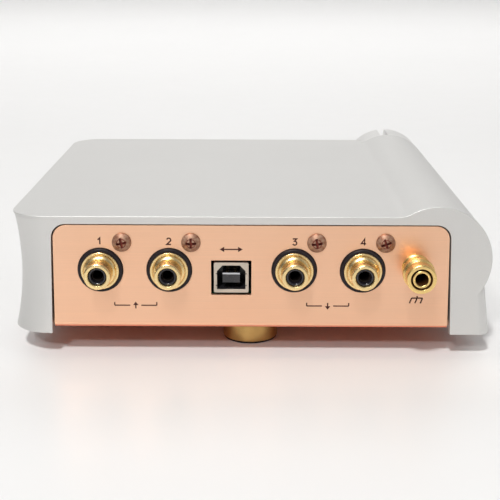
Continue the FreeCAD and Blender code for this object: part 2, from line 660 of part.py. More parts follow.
# ---------------------------------------------------------------------------
# Ground terminal
# ---------------------------------------------------------------------------
gx, gz, pr = d("ground_x"), d("ground_z"), d("post_radius")
b = turned("ground_post", [
    (0.0, -14.0), (pr - 0.4, -14.0), (pr, -13.6), (pr, d("post_front") - 0.2),
    (pr - 0.2, d("post_front")), (d("post_bore") + 0.25, d("post_front")), (d("post_bore"), d("post_front") - 0.3),
    (d("post_bore"), 2.0), (0.0, 1.0),
])
place(b, gx, REAR, gz)
keep_node("ground_post", b)
b = turned("ground_collar", [
    (pr + 0.05, 0.03), (4.35, 0.03), (4.35, 0.8), (3.9, 1.2), (3.9, 4.2), (3.7, 4.4), (pr + 0.05, 4.4),
])
place(b, gx, REAR, gz)
keep_node("ground_collar", b)


def hex_pts(af, cx=0.0, cy=0.0):
    r = af / math.sqrt(3.0)
    return [(cx + r * math.cos(math.radians(60 * i + 30)), cy + r * math.sin(math.radians(60 * i + 30))) for i in range(6)]


b = slab("ground_locknut", "XZ_Plane", [hex_pts(8.0)], 2.6, [(0.0, 0.0, pr + 0.03)], shift=t + 0.6)
place(b, gx, REAR, gz)
keep_node("ground_locknut", b)
b = slab("ground_lug", "XZ_Plane", [rounded_pts(-4.2, 4.2, -9.0, 4.2, 1.8)], 0.5, [(0.0, 0.0, pr + 0.03)], shift=t + 0.05)
place(b, gx, REAR, gz)
keep_node("ground_lug", b)
b = turned("ground_washer", [(d("nut_bore"), 4.5), (4.4, 4.5), (4.4, 5.5), (d("nut_bore"), 5.5)])
place(b, gx, REAR, gz)
keep_node("ground_washer", b)
b = turned("ground_nut", [
    (d("nut_bore"), 5.6), (d("nut_flange") - 0.25, 5.6), (d("nut_flange"), 5.85), (d("nut_flange"), 7.3),
    (d("nut_flange") - 0.3, 7.6), (d("nut_waist") + 0.1, 7.75), (d("nut_waist"), 8.1), (d("nut_waist"), 9.0),
    (d("nut_waist") + 0.15, 9.4), (d("nut_face"), 9.8), (d("nut_face"), d("post_front") - 0.55, 0.55, 1),
    (d("nut_face") - 0.55, d("post_front")), (d("nut_bore") + 0.25, d("post_front")),
    (d("nut_bore"), d("post_front") - 0.3),
])
doc.recompute()
axis_sk = new_sketch(b, "XZ_Plane", [], [(0.0, d("nut_flange") + 0.12, 0.32)], shift=-4.0)
kn = pocket(b, axis_sk, 3.9)
polar(b, kn, axis_sk, 30)
place(b, gx, REAR, gz)
keep_node("ground_nut", b)

# ---------------------------------------------------------------------------
# Volume control, on the axis of the drum.  Local Y = 0 is the drum's front wall.
# ---------------------------------------------------------------------------
DRUM_Y = REAR - d("drum_depth")
kr = d("knob_radius")
k0, k1 = -0.35, -16.1
b = turned("volume_knob", [
    (0.0, k1 + 1.0, 40.0, 1), (kr - 3.2, k1 + 0.35), (kr - 2.6, k1), (kr - 0.5, k1), (kr, k1 + 0.5), (kr, k0 - 0.3), (kr - 0.3, k0),
    (kr - 4.2, k0), (kr - 4.2, -9.0), (6.2, -9.0), (6.2, -3.2), (3.04, -3.2), (3.04, -11.0), (0.0, -11.0),
])
doc.recompute()
sk = new_sketch(b, "XZ_Plane", [[
    (-d("pointer_root"), kr - d("pointer_depth") + 0.5, d("pointer_root") * 1.25, 1),
    (d("pointer_root"), kr - d("pointer_depth") + 0.5),
    (d("pointer_top"), kr + 0.6), (-d("pointer_top"), kr + 0.6),
]], shift=17.5)
pocket(b, sk, 18.0)
# threaded hole of the set screw, from the rim down to the hub
sk = new_sketch(b, "XY_Plane", [], [(0.0, -6.2, 1.52)], shift=-2.0)
pocket(b, sk, 20.0)
place(b, d("drum_x"), DRUM_Y, d("drum_z"), (0, 1, 0), 4.6)
keep_node("volume_knob", b)

b = make_body("volume_shaft")
sk = new_sketch(b, "XZ_Plane", [], [(0.0, 0.0, d("shaft_radius"))], shift=-6.0)
pad(b, sk, 16.9)
dress(b, "Chamfer", 0.35, lambda e: abs(e.BoundBox.YMax + 10.9) < 1e-3 and e.BoundBox.YMax - e.BoundBox.YMin < 1e-3)
place(b, d("drum_x"), DRUM_Y, d("drum_z"), (0, 1, 0), 4.6)
keep_node("volume_shaft", b)

b = make_body("knob_set_screw")
sk = new_sketch(b, "XY_Plane", [], [(0.0, -6.2, 1.48)], shift=-3.05)
pad(b, sk, 3.0, reverse=True)
sk = new_sketch(b, "XY_Plane", [hex_pts(1.5, 0.0, -6.2)], shift=-7.0)
pocket(b, sk, 2.4, reverse=True)
place(b, d("drum_x"), DRUM_Y, d("drum_z"), (0, 1, 0), 4.6)
keep_node("knob_set_screw", b)

# potentiometer: can and threaded bushing in one piece, behind the wall
ph = d("pot_half")
b = make_body("volume_pot")
sk = new_sketch(b, "XZ_Plane", [rounded_pts(-ph, ph, -ph, ph, 0.8)], shift=-3.5)
pad(b, sk, 9.0, reverse=True)
doc.recompute()
sk = new_sketch(b, "XZ_Plane", [], [(0.0, 0.0, 4.45)], shift=-3.6)
pad(b, sk, 6.1)
sk = new_sketch(b, "XZ_Plane", [], [(0.0, 0.0, d("shaft_radius") + 0.06)], shift=4.0)
pocket(b, sk, 10.2)
place(b, d("drum_x"), DRUM_Y, d("drum_z"))
keep_node("volume_pot", b)
b = slab("volume_bushing_nut", "XZ_Plane", [hex_pts(11.0)], 2.0, [(0.0, 0.0, 4.48)], shift=0.05)
place(b, d("drum_x"), DRUM_Y, d("drum_z"))
keep_node("volume_bushing_nut", b)
b = slab("volume_board", "XZ_Plane", [box_pts(-7.8, 16.0, -10.2, 6.2)], 1.6, shift=-12.6, reverse=True)
place(b, d("drum_x"), DRUM_Y, d("drum_z"))
keep_node("volume_board", b)

# ---------------------------------------------------------------------------
# Headphone socket.  Local Y = 0 is the outside of the front panel.
# ---------------------------------------------------------------------------
FRONT = REAR - dep
pb = d("phones_bore")
b = turned("phones_sleeve", [
    (pb + 0.4, -3.2), (4.6, -3.2), (5.4, -2.8), (5.4, t + 0.3), (6.6, t + 0.3), (6.6, t + 1.2), (pb, t + 1.2), (pb, -2.8),
])
place(b, d("phones_x"), FRONT, d("phones_z"))
keep_node("phones_sleeve", b)
b = slab("phones_nut", "XZ_Plane", [], 1.6, [(0.0, 0.0, 7.2), (0.0, 0.0, 5.44)], shift=0.05)
dress(b, "Chamfer", 0.5, lambda e: abs(e.BoundBox.YMin + 1.65) < 1e-3 and e.BoundBox.XMax > 7.0)
place(b, d("phones_x"), FRONT, d("phones_z"))
keep_node("phones_nut", b)
b = make_body("phones_body")
sk = new_sketch(b, "XZ_Plane", [rounded_pts(-8.0, 8.0, -6.9, 7.4, 0.8)], shift=-(t + 1.3))
pad(b, sk, 26.0, reverse=True)
doc.recompute()
sk = new_sketch(b, "XZ_Plane", [], [(0.0, 0.0, pb + 0.25)], shift=-(t + 1.0))
pocket(b, sk, 24.0)
sk = new_sketch(b, "XZ_Plane", [box_pts(-0.9, 0.9, 3.0, 8.0)], shift=-8.0)
pocket(b, sk, 14.0)
place(b, d("phones_x"), FRONT, d("phones_z"))
keep_node("phones_body", b)
springs = []
for k, yy in enumerate((9.5, 14.0, 18.5)):
    s = make_body("phones_spring_%d" % (k + 1))
    sk = new_sketch(s, "YZ_Plane", [[(yy, 3.5), (yy + 2.2, 3.5), (yy + 2.2, 6.0), (yy + 1.8, 6.0), (yy + 1.8, 3.9), (yy, 3.9)]])
    pad(s, sk, 1.8, midplane=True)
    place(s, d("phones_x"), FRONT, d("phones_z"))
    springs.append(s)
group("phones_contacts", springs)
b = turned("status_lens", [(0.0, -0.35, 4.0, 1), (1.5, 0.0), (1.5, 3.6), (0.0, 3.6)])
place(b, -22.0, FRONT, d("phones_z"))
keep_node("status_lens", b)

# ---------------------------------------------------------------------------
# Main board, its posts, screws and parts
# ---------------------------------------------------------------------------
zb = d("board_under")
zt = zb + d("board_thick")
b = make_body("main_board")
sk = new_sketch(b, "XY_Plane", [[
    (-56.0, -3.2), (-56.0, -112.0), (-36.0, -112.0), (-36.0, -131.0), (57.0, -131.0), (57.0, -3.2),
]], [(x, y, 1.6) for x, y in POSTS], shift=zb)
pad(b, sk, d("board_thick"))
place(b, 0.0, REAR, 0.0)
keep_node("main_board", b)
posts, pscrews = [], []
for k, (x, y) in enumerate(POSTS):
    s = slab("post_%d" % (k + 1), "XY_Plane", [hex_pts(5.5)], zb - zf - t - 0.02, [(0.0, 0.0, 1.3)], shift=0.0)
    place(s, x, REAR + y, zf + t + 0.01)
    posts.append(s)
    s = cross_screw("post_screw_%d" % (k + 1), 2.6, 1.6, 1.25, 4.6, upright=True)
    place(s, x, REAR + y, zt + 0.02)
    pscrews.append(s)
group("board_standoffs", posts)
group("board_screws", pscrews)

caps = []
for k, (x, y, r, hh) in enumerate([(38.0, 20.0, 5.0, 16.0), (38.0, 6.0, 5.0, 16.0), (-2.0, 14.0, 4.0, 11.5), (-14.0, 14.0, 4.0, 11.5),
                                   (-38.0, 20.0, 5.0, 16.0), (-38.0, 6.0, 5.0, 16.0), (12.0, -46.0, 4.0, 11.5), (0.0, -46.0, 4.0, 11.5)]):
    s = turned("cap_%d" % (k + 1), [
        (0.0, 0.0), (r, 0.0), (r, 1.0), (r - 0.35, 1.4), (r, 1.8), (r, hh - 0.5), (r - 0.5, hh), (0.0, hh)], upright=True)
    place(s, x, y, zt + 0.02)
    caps.append(s)
group("electrolytic_caps", caps)
films = []
for k, (x, y) in enumerate([(22.0, 24.0), (22.0, 14.0), (-24.0, 24.0), (-24.0, 14.0)]):
    s = slab("film_%d" % (k + 1), "XY_Plane", [rounded_pts(-3.6, 3.6, -2.5, 2.5, 0.4)], 7.5)
    place(s, x, y, zt + 0.02)
    films.append(s)
group("film_caps", films)
chips = []
for k, (x, y, w, l, hh) in enumerate([(6.0, 30.0, 14.0, 14.0, 1.6), (6.0, -6.0, 20.0, 20.0, 1.8), (30.0, -20.0, 10.0, 10.0, 1.4),
                                      (-28.0, -18.0, 10.0, 10.0, 1.4), (-28.0, -32.0, 8.0, 5.0, 1.5), (28.0, -34.0, 8.0, 5.0, 1.5)]):
    s = slab("chip_%d" % (k + 1), "XY_Plane", [rounded_pts(-w / 2, w / 2, -l / 2, l / 2, 0.3)], hh)
    place(s, x, y, zt + 0.02)
    chips.append(s)
group("main_chips", chips)
cans = []
for k, (x, y) in enumerate([(-8.0, -22.0), (16.0, -26.0)]):
    s = slab("can_%d" % (k + 1), "XY_Plane", [rounded_pts(-5.2, 5.2, -2.3, 2.3, 2.2)], 3.5)
    place(s, x, y, zt + 0.02)
    cans.append(s)
group("crystal_cans", cans)
# flat cable from the volume board down to the main board
b = make_body("volume_ribbon")
sk = new_sketch(b, "YZ_Plane", [[
    (14.25, -2.0), (18.4, -2.0, 1.2, -1), (19.6, -3.2), (19.6, -11.1), (20.4, -11.1), (20.4, -3.2, 2.0, 1), (18.4, -1.2), (14.25, -1.2),
]])
pad(b, sk, 9.0)
place(b, d("drum_x") + 5.0, DRUM_Y, d("drum_z"))
keep_node("volume_ribbon", b)

# ---------------------------------------------------------------------------
# Feet, their pads and screws, and the screws that join chassis and shell
# ---------------------------------------------------------------------------
fr = d("foot_radius")
fscrews = []
for label, x, y in FEET:
    f = turned(label, [
        (0.0, d("pad_thick")), (fr - 0.2, d("pad_thick")), (fr, d("pad_thick") + 0.2), (fr, zf - 0.32),
        (fr - 0.3, zf - 0.02), (1.45, zf - 0.02), (1.45, 3.6), (0.0, 2.9),
    ], upright=True)
    place(f, x, y, 0.0)
    keep_node(label, f)
    p = turned(label.replace("foot_", "foot_pad_"), [
        (0.0, 0.0), (fr - 0.45, 0.0), (fr - 0.25, 0.2), (fr - 0.25, d("pad_thick") - 0.02), (0.0, d("pad_thick") - 0.02)], upright=True)
    place(p, x, y, 0.0)
    keep_node(label.replace("foot_", "foot_pad_"), p)
    s = cross_screw("screw_" + label, 2.9, 1.7, 1.42, 7.0, upright=True)
    place(s, x, y, zf + t + 0.02)
    fscrews.append(s)
group("foot_screws", fscrews)
cscrews = []
for k, (x, y) in enumerate(boss_centres):
    s = cross_screw("cover_screw_%d" % (k + 1), 2.8, 1.6, 1.18, 8.0, upright=True)
    place(s, x, REAR + y, zf - 0.02, (1, 0, 0), 180.0)
    cscrews.append(s)
group("cover_screws", cscrews)

# ---------------------------------------------------------------------------
# Checks and export
# ---------------------------------------------------------------------------
doc.recompute()
for obj in doc.Objects:
    if "Invalid" in obj.State or "Error" in obj.State:
        raise RuntimeError("failed object: %s %s" % (obj.Name, obj.State))
for label, obj in NODES:
    shp = obj.Shape
    if shp.isNull() or not shp.isValid() or not shp.Solids:
        raise RuntimeError("bad shape: " + label)
    for so in shp.Solids:
        if so.Volume <= 0:
            raise RuntimeError("bad solid: " + label)
if len(NODES) > 60 or len(set(l for l, _ in NODES)) != len(NODES):
    raise RuntimeError("node list")
os.makedirs("parts", exist_ok=True)
for label, obj in NODES:
    obj.Shape.exportStep("parts/%s.step" % label)
    bb = obj.Shape.BoundBox
    print("%-26s solids %d  x %7.2f %7.2f  y %7.2f %7.2f  z %7.2f %7.2f  vol %9.2f" % (
        label, len(obj.Shape.Solids), bb.XMin, bb.XMax, bb.YMin, bb.YMax, bb.ZMin, bb.ZMax, obj.Shape.Volume))
print("nodes", len(NODES))
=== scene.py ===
import json
import math

import bmesh
import bpy
from mathutils import Matrix, Vector
from mathutils.bvhtree import BVHTree
from mathutils.kdtree import KDTree


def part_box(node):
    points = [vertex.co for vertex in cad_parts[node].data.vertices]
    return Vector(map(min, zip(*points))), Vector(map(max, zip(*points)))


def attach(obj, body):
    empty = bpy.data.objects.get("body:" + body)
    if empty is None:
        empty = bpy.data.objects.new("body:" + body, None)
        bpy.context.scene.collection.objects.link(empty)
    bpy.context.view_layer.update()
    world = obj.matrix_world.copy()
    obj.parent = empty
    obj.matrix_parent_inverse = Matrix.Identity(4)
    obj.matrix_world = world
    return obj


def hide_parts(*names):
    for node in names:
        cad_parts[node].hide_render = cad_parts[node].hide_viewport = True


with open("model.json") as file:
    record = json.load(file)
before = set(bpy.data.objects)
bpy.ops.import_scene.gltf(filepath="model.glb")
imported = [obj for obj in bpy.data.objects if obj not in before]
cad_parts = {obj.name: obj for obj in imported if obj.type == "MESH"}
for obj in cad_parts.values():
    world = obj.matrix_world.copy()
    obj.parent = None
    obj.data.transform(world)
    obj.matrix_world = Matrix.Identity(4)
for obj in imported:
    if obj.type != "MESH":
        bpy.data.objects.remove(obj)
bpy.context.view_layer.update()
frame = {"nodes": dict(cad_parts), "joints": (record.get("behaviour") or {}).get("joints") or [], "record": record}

scene = bpy.context.scene
NODES = frame["nodes"]
RECORD = frame["record"]
MM = 0.001


# ---------------------------------------------------------------------------
# Places, all read from the frame
# ---------------------------------------------------------------------------
def centre(node):
    lo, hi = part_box(node)
    return (lo + hi) / 2 * 1000.0


MOUNTS = {m["name"]: [v * 1000.0 for v in m["pos_m"]] for m in RECORD["mounts"]}
PHONO = {tag: (MOUNTS["phono_%s_barrel" % tag][0], MOUNTS["phono_%s_barrel" % tag][2])
         for tag in ("out_right", "out_left", "in_right", "in_left")}
PANEL_LO, PANEL_HI = (v * 1000.0 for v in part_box("chassis_rear_panel"))
PANEL_Y = PANEL_HI.y
GROUND = (MOUNTS["ground_banana_hole"][0], MOUNTS["ground_banana_hole"][2])
KNOB = [j for j in frame["joints"] if j["name"] == "volume_turn"][0]
KNOB_X, KNOB_Z = KNOB["pos_m"][0] * 1000.0, KNOB["pos_m"][2] * 1000.0


# ---------------------------------------------------------------------------
# Procedural materials
# ---------------------------------------------------------------------------
def srgb(r, g, b):
    def lin(c):
        c /= 255.0
        return c / 12.92 if c <= 0.04045 else ((c + 0.055) / 1.055) ** 2.4
    return (lin(r), lin(g), lin(b))


class Finish:
    """A Principled shader and short names for the nodes that feed it."""

    def __init__(self, name, base, metallic=0.0, roughness=0.5, specular=0.5, **more):
        self.mat = bpy.data.materials.new(name)
        self.mat.use_nodes = True
        self.tree = self.mat.node_tree
        self.nodes, self.links = self.tree.nodes, self.tree.links
        self.shader = self.nodes["Principled BSDF"]
        self.base = base
        self.set("Base Color", (*base, 1.0))
        self.set("Metallic", metallic)
        self.set("Roughness", roughness)
        self.set("Specular IOR Level", specular)
        for k, v in more.items():
            self.set(k.replace("_", " "), v)
        self.coord = self.nodes.new("ShaderNodeTexCoord").outputs["Object"]
        self.mat.diffuse_color = (*base, 1.0)

    def set(self, socket, value):
        self.shader.inputs[socket].default_value = value

    def stretched(self, scale=(1, 1, 1), rotation=(0, 0, 0), offset=(0, 0, 0)):
        m = self.nodes.new("ShaderNodeMapping")
        self.links.new(self.coord, m.inputs["Vector"])
        m.inputs["Scale"].default_value = scale
        m.inputs["Rotation"].default_value = rotation
        m.inputs["Location"].default_value = offset
        return m.outputs["Vector"]

    def noise(self, scale, detail=2.0, rough=0.5, vector=None, distortion=0.0):
        n = self.nodes.new("ShaderNodeTexNoise")
        self.links.new(vector or self.coord, n.inputs["Vector"])
        n.inputs["Scale"].default_value = scale
        n.inputs["Detail"].default_value = detail
        n.inputs["Roughness"].default_value = rough
        n.inputs["Distortion"].default_value = distortion
        return n.outputs["Fac"]

    def cells(self, scale, vector=None, feature="F1", out="Distance"):
        n = self.nodes.new("ShaderNodeTexVoronoi")
        n.feature = feature
        self.links.new(vector or self.coord, n.inputs["Vector"])
        n.inputs["Scale"].default_value = scale
        return n.outputs[out]

    def ramp(self, value, stops, mode="LINEAR"):
        n = self.nodes.new("ShaderNodeValToRGB")
        n.color_ramp.interpolation = mode
        els = n.color_ramp.elements
        while len(els) < len(stops):
            els.new(0.5)
        for e, (p, c) in zip(els, stops):
            e.position = p
            e.color = (c, c, c, 1.0) if isinstance(c, (int, float)) else (*c, 1.0)
        self.links.new(value, n.inputs["Fac"])
        return n.outputs["Color"]

    def span(self, value, low, high, a=0.0, b=1.0):
        n = self.nodes.new("ShaderNodeMapRange")
        self.links.new(value, n.inputs["Value"])
        n.inputs["From Min"].default_value = low
        n.inputs["From Max"].default_value = high
        n.inputs["To Min"].default_value = a
        n.inputs["To Max"].default_value = b
        return n.outputs["Result"]

    def calc(self, op, a, b=None, clamp=False):
        n = self.nodes.new("ShaderNodeMath")
        n.operation, n.use_clamp = op, clamp
        for k, v in enumerate((a, b)):
            if v is None:
                continue
            if isinstance(v, (int, float)):
                n.inputs[k].default_value = v
            else:
                self.links.new(v, n.inputs[k])
        return n.outputs[0]

    def mix(self, fac, a, b, mode="MIX"):
        n = self.nodes.new("ShaderNodeMix")
        n.data_type, n.blend_type = "RGBA", mode
        for k, v in ((0, fac), (6, a), (7, b)):
            if isinstance(v, (int, float)):
                n.inputs[k].default_value = v
            elif isinstance(v, tuple):
                n.inputs[k].default_value = (*v, 1.0)
            else:
                self.links.new(v, n.inputs[k])
        return n.outputs[2]

    def colour(self, socket):
        self.links.new(socket, self.shader.inputs["Base Color"])

    def roughness(self, socket):
        self.links.new(socket, self.shader.inputs["Roughness"])

    def bump(self, height, strength=0.3, distance=0.00002, over=None):
        n = self.nodes.new("ShaderNodeBump")
        n.inputs["Strength"].default_value = strength
        n.inputs["Distance"].default_value = distance
        self.links.new(height, n.inputs["Height"])
        if over is not None:
            self.links.new(over, n.inputs["Normal"])
        self.links.new(n.outputs["Normal"], self.shader.inputs["Normal"])
        return n.outputs["Normal"]

    def axis(self, letter):
        n = self.nodes.new("ShaderNodeSeparateXYZ")
        self.links.new(self.coord, n.inputs[0])
        return n.outputs[letter]

    def radius(self, cx, cz, axis="Y"):
        """Distance from an axis along Y (or Z), in metres, so that turning marks run round it."""
        n = self.nodes.new("ShaderNodeVectorMath")
        n.operation = "SUBTRACT"
        self.links.new(self.coord, n.inputs[0])
        n.inputs[1].default_value = (cx * MM, 0.0, cz * MM) if axis == "Y" else (cx * MM, cz * MM, 0.0)
        m = self.nodes.new("ShaderNodeVectorMath")
        m.operation = "MULTIPLY"
        self.links.new(n.outputs[0], m.inputs[0])
        m.inputs[1].default_value = (1.0, 0.0, 1.0) if axis == "Y" else (1.0, 1.0, 0.0)
        k = self.nodes.new("ShaderNodeVectorMath")
        k.operation = "LENGTH"
        self.links.new(m.outputs[0], k.inputs[0])
        return k.outputs["Value"]

    def line(self, value, scale, detail=3.0):
        """Noise along one number only: bands."""
        n = self.nodes.new("ShaderNodeTexNoise")
        n.noise_dimensions = "1D"
        self.links.new(value, n.inputs["W"])
        n.inputs["Scale"].default_value = scale
        n.inputs["Detail"].default_value = detail
        return n.outputs["Fac"]


def tint(c, k):
    return tuple(min(1.0, v * k) for v in c)


def shell_aluminium():
    base = (0.684, 0.678, 0.662)
    f = Finish("shell_aluminium", base, metallic=0.75, roughness=0.44, specular=0.5)
    grain = f.noise(5200.0, 3.0, 0.6)
    cloud = f.noise(24.0, 4.0, 0.55)
    smear = f.noise(9.0, 5.0, 0.6, vector=f.stretched((1.0, 2.6, 1.0), rotation=(0, 0, 0.5)))
    f.colour(f.mix(f.span(grain, 0.3, 0.7), f.mix(f.span(cloud, 0.3, 0.7), tint(base, 0.975), tint(base, 1.012)),
                   tint(base, 1.03)))
    f.roughness(f.calc("ADD", f.span(grain, 0.25, 0.75, 0.40, 0.47), f.span(smear, 0.35, 0.75, -0.015, 0.035)))
    f.bump(grain, 0.22, 0.000018)
    return f.mat


def copper_sheet(name="copper_sheet", base=(0.962, 0.583, 0.385), pale=(0.952, 0.603, 0.410)):
    f = Finish(name, base, metallic=0.92, roughness=0.36, specular=0.5)
    along = f.stretched((26.0, 900.0, 5200.0))
    streak = f.noise(1.0, 5.0, 0.62, vector=along)
    fine = f.noise(1.0, 2.0, 0.5, vector=f.stretched((70.0, 3000.0, 17000.0)))
    cloud = f.noise(34.0, 3.0, 0.5)
    base_mix = f.mix(f.span(streak, 0.3, 0.7), tint(base, 0.965), tint(base, 1.03))
    base_mix = f.mix(f.span(cloud, 0.35, 0.7, 0.0, 0.5), base_mix, pale)
    # painted shade: the copper is mixed towards dark brown near the sheet's lower fold, where the bend turns away from
    # the light
    fold_shade = f.span(f.axis("Z"), (PANEL_LO.z + 0.2) * MM, (PANEL_LO.z + 2.4) * MM, 0.0, 1.0)
    f.colour(f.mix(fold_shade, f.mix(0.26, base_mix, (0.30, 0.13, 0.08)), base_mix))
    f.roughness(f.calc("ADD", f.span(streak, 0.25, 0.75, 0.32, 0.42), f.span(fine, 0.3, 0.7, -0.02, 0.03)))
    f.bump(f.calc("ADD", streak, f.calc("MULTIPLY", fine, 0.6)), 0.16, 0.00001)
    return f.mat


def gold(name, base, rough, cx=None, cz=None):
    f = Finish(name, base, metallic=1.0, roughness=rough)
    cloud = f.noise(420.0, 3.0, 0.55)
    fine = f.noise(2600.0, 3.0, 0.6)
    f.colour(f.mix(f.span(cloud, 0.3, 0.7), tint(base, 0.94), tint(base, 1.03)))
    f.roughness(f.calc("ADD", f.span(fine, 0.3, 0.7, rough - 0.03, rough + 0.04), f.span(cloud, 0.3, 0.7, -0.02, 0.03)))
    if cx is not None:
        marks = f.line(f.radius(cx, cz), 9000.0, 2.0)
        f.bump(f.calc("ADD", marks, f.calc("MULTIPLY", fine, 0.3)), 0.05, 0.000005)
    else:
        f.bump(fine, 0.06, 0.000006)
    return f.mat


def foot_brass():
    base = (0.615, 0.402, 0.142)
    f = Finish("foot_brass", base, metallic=1.0, roughness=0.34)
    rings = f.line(f.axis("Z"), 5200.0, 4.0)
    cloud = f.noise(190.0, 4.0, 0.6)
    f.colour(f.mix(f.span(cloud, 0.35, 0.7), tint(base, 0.90), tint(base, 1.06)))
    f.roughness(f.calc("ADD", f.span(rings, 0.3, 0.7, 0.27, 0.40), f.span(cloud, 0.3, 0.75, -0.02, 0.06)))
    f.bump(f.calc("ADD", rings, f.calc("MULTIPLY", cloud, 0.2)), 0.30, 0.000012)
    return f.mat


def moulded(name, base, rough=0.42, grain=2400.0, strength=0.15, gloss=0.5):
    f = Finish(name, base, roughness=rough, specular=gloss)
    g = f.noise(grain, 3.0, 0.6)
    cloud = f.noise(160.0, 3.0, 0.5)
    f.colour(f.mix(f.span(cloud, 0.3, 0.7), tint(base, 0.82), tint(base, 1.22)))
    f.roughness(f.span(g, 0.3, 0.7, rough - 0.06, rough + 0.07))
    f.bump(g, strength, 0.000015)
    return f.mat


def plated(name, base, rough=0.34, mottle=0.06, grain=900.0):
    f = Finish(name, base, metallic=1.0, roughness=rough)
    g = f.noise(grain, 4.0, 0.6)
    cloud = f.noise(260.0, 4.0, 0.6)
    f.colour(f.mix(f.span(cloud, 0.3, 0.7), tint(base, 1.0 - mottle), tint(base, 1.0 + mottle)))
    f.roughness(f.span(g, 0.3, 0.7, rough - 0.06, rough + 0.08))
    f.bump(g, 0.14, 0.00001)
    return f.mat


def copper_screw():
    base = (0.300, 0.150, 0.095)
    f = Finish("copper_screw", base, metallic=0.6, roughness=0.5)
    patch = f.noise(900.0, 4.0, 0.65)
    spots = f.noise(2300.0, 4.0, 0.7)
    c = f.mix(f.span(patch, 0.35, 0.65), (0.235, 0.098, 0.056), (0.430, 0.270, 0.185))
    f.colour(f.mix(f.span(spots, 0.58, 0.75, 0.0, 0.6), c, (0.40, 0.19, 0.09)))
    f.roughness(f.span(patch, 0.3, 0.7, 0.42, 0.60))
    f.bump(f.calc("ADD", patch, spots), 0.35, 0.00002)
    return f.mat


# painted shade: the faces inside the screws' cross recesses take a dark red-brown
def screw_recess():
    base = (0.150, 0.024, 0.014)
    f = Finish("copper_screw_recess_shade", base, metallic=0.5, roughness=0.5)
    patch = f.noise(1800.0, 4.0, 0.65)
    f.colour(f.mix(f.span(patch, 0.35, 0.65), (0.080, 0.011, 0.007), (0.26, 0.045, 0.027)))
    f.bump(patch, 0.3, 0.00002)
    return f.mat


def shaded_bore(name, base, rough=0.42):
    """Painted shade for the inside of a plated hole: a dark colour where the hole's depth keeps the light out."""
    f = Finish(name, base, metallic=0.7, roughness=rough, specular=0.3)
    g = f.noise(1500.0, 3.0, 0.6)
    f.colour(f.mix(f.span(g, 0.3, 0.7), tint(base, 0.7), tint(base, 1.4)))
    f.roughness(f.span(g, 0.3, 0.7, rough - 0.05, rough + 0.08))
    f.bump(g, 0.12, 0.00001)
    return f.mat


def knob_aluminium():
    base = (0.800, 0.795, 0.780)
    f = Finish("knob_aluminium", base, metallic=0.9, roughness=0.34)
    r = f.radius(KNOB_X, KNOB_Z)
    face = f.line(r, 3600.0, 5.0)
    side = f.line(f.axis("Y"), 5200.0, 4.0)
    cloud = f.noise(60.0, 3.0, 0.5)
    marks = f.calc("ADD", f.calc("MULTIPLY", face, 0.5), f.calc("MULTIPLY", side, 0.5))
    f.colour(f.mix(f.span(cloud, 0.3, 0.7), tint(base, 0.96), tint(base, 1.03)))
    f.roughness(f.span(marks, 0.35, 0.65, 0.28, 0.40))
    f.bump(marks, 0.32, 0.000012)
    return f.mat


def circuit_board():
    base = (0.012, 0.085, 0.040)
    f = Finish("circuit_board", base, roughness=0.35, specular=0.5)
    n = f.nodes.new("ShaderNodeTexBrick")
    f.links.new(f.stretched((1.0, 1.0, 1.0), rotation=(0, 0, 0.785)), n.inputs["Vector"])
    n.inputs["Scale"].default_value = 130.0
    n.inputs["Mortar Size"].default_value = 0.05
    n.inputs["Mortar Smooth"].default_value = 0.2
    traces = n.outputs["Fac"]
    weave = f.noise(1500.0, 2.0, 0.5)
    f.colour(f.mix(f.span(weave, 0.3, 0.7), f.mix(traces, base, (0.020, 0.135, 0.062)), f.mix(traces, tint(base, 0.8), (0.018, 0.12, 0.055))))
    f.roughness(f.span(weave, 0.3, 0.7, 0.30, 0.42))
    f.bump(f.calc("ADD", traces, f.calc("MULTIPLY", weave, 0.3)), 0.25, 0.00003)
    return f.mat


def can_sleeve():
    base = (0.020, 0.022, 0.060)
    f = Finish("capacitor_sleeve", base, roughness=0.28, specular=0.5)
    stripe = f.noise(55.0, 0.0, 0.5, vector=f.stretched((1.0, 1.0, 0.0)))
    speck = f.noise(1400.0, 3.0, 0.6)
    f.colour(f.mix(f.ramp(stripe, [(0.60, 0.0), (0.61, 1.0)]), f.mix(f.span(speck, 0.3, 0.7), tint(base, 0.8), tint(base, 1.3)), (0.55, 0.57, 0.60)))
    f.roughness(f.span(speck, 0.3, 0.7, 0.24, 0.34))
    f.bump(speck, 0.08, 0.00002)
    return f.mat


def lens_clear():
    base = (0.88, 0.91, 0.93)
    f = Finish("lens_clear", base, roughness=0.22, specular=0.5)
    f.set("Transmission Weight", 0.35)
    f.set("IOR", 1.49)
    g = f.noise(1600.0, 3.0, 0.5)
    f.colour(f.mix(f.span(g, 0.3, 0.7), tint(base, 0.95), base))
    f.roughness(f.span(g, 0.3, 0.7, 0.18, 0.30))
    f.bump(g, 0.1, 0.00001)
    return f.mat


def printed_ink():
    base = srgb(62, 26, 24)
    f = Finish("printed_ink", base, roughness=0.55, specular=0.25)
    g = f.noise(5000.0, 3.0, 0.6)
    f.colour(f.mix(f.span(g, 0.3, 0.7), tint(base, 0.85), tint(base, 1.25)))
    f.roughness(f.span(g, 0.3, 0.7, 0.50, 0.62))
    f.bump(g, 0.1, 0.000008)
    return f.mat


GOLD = (0.940, 0.715, 0.355)

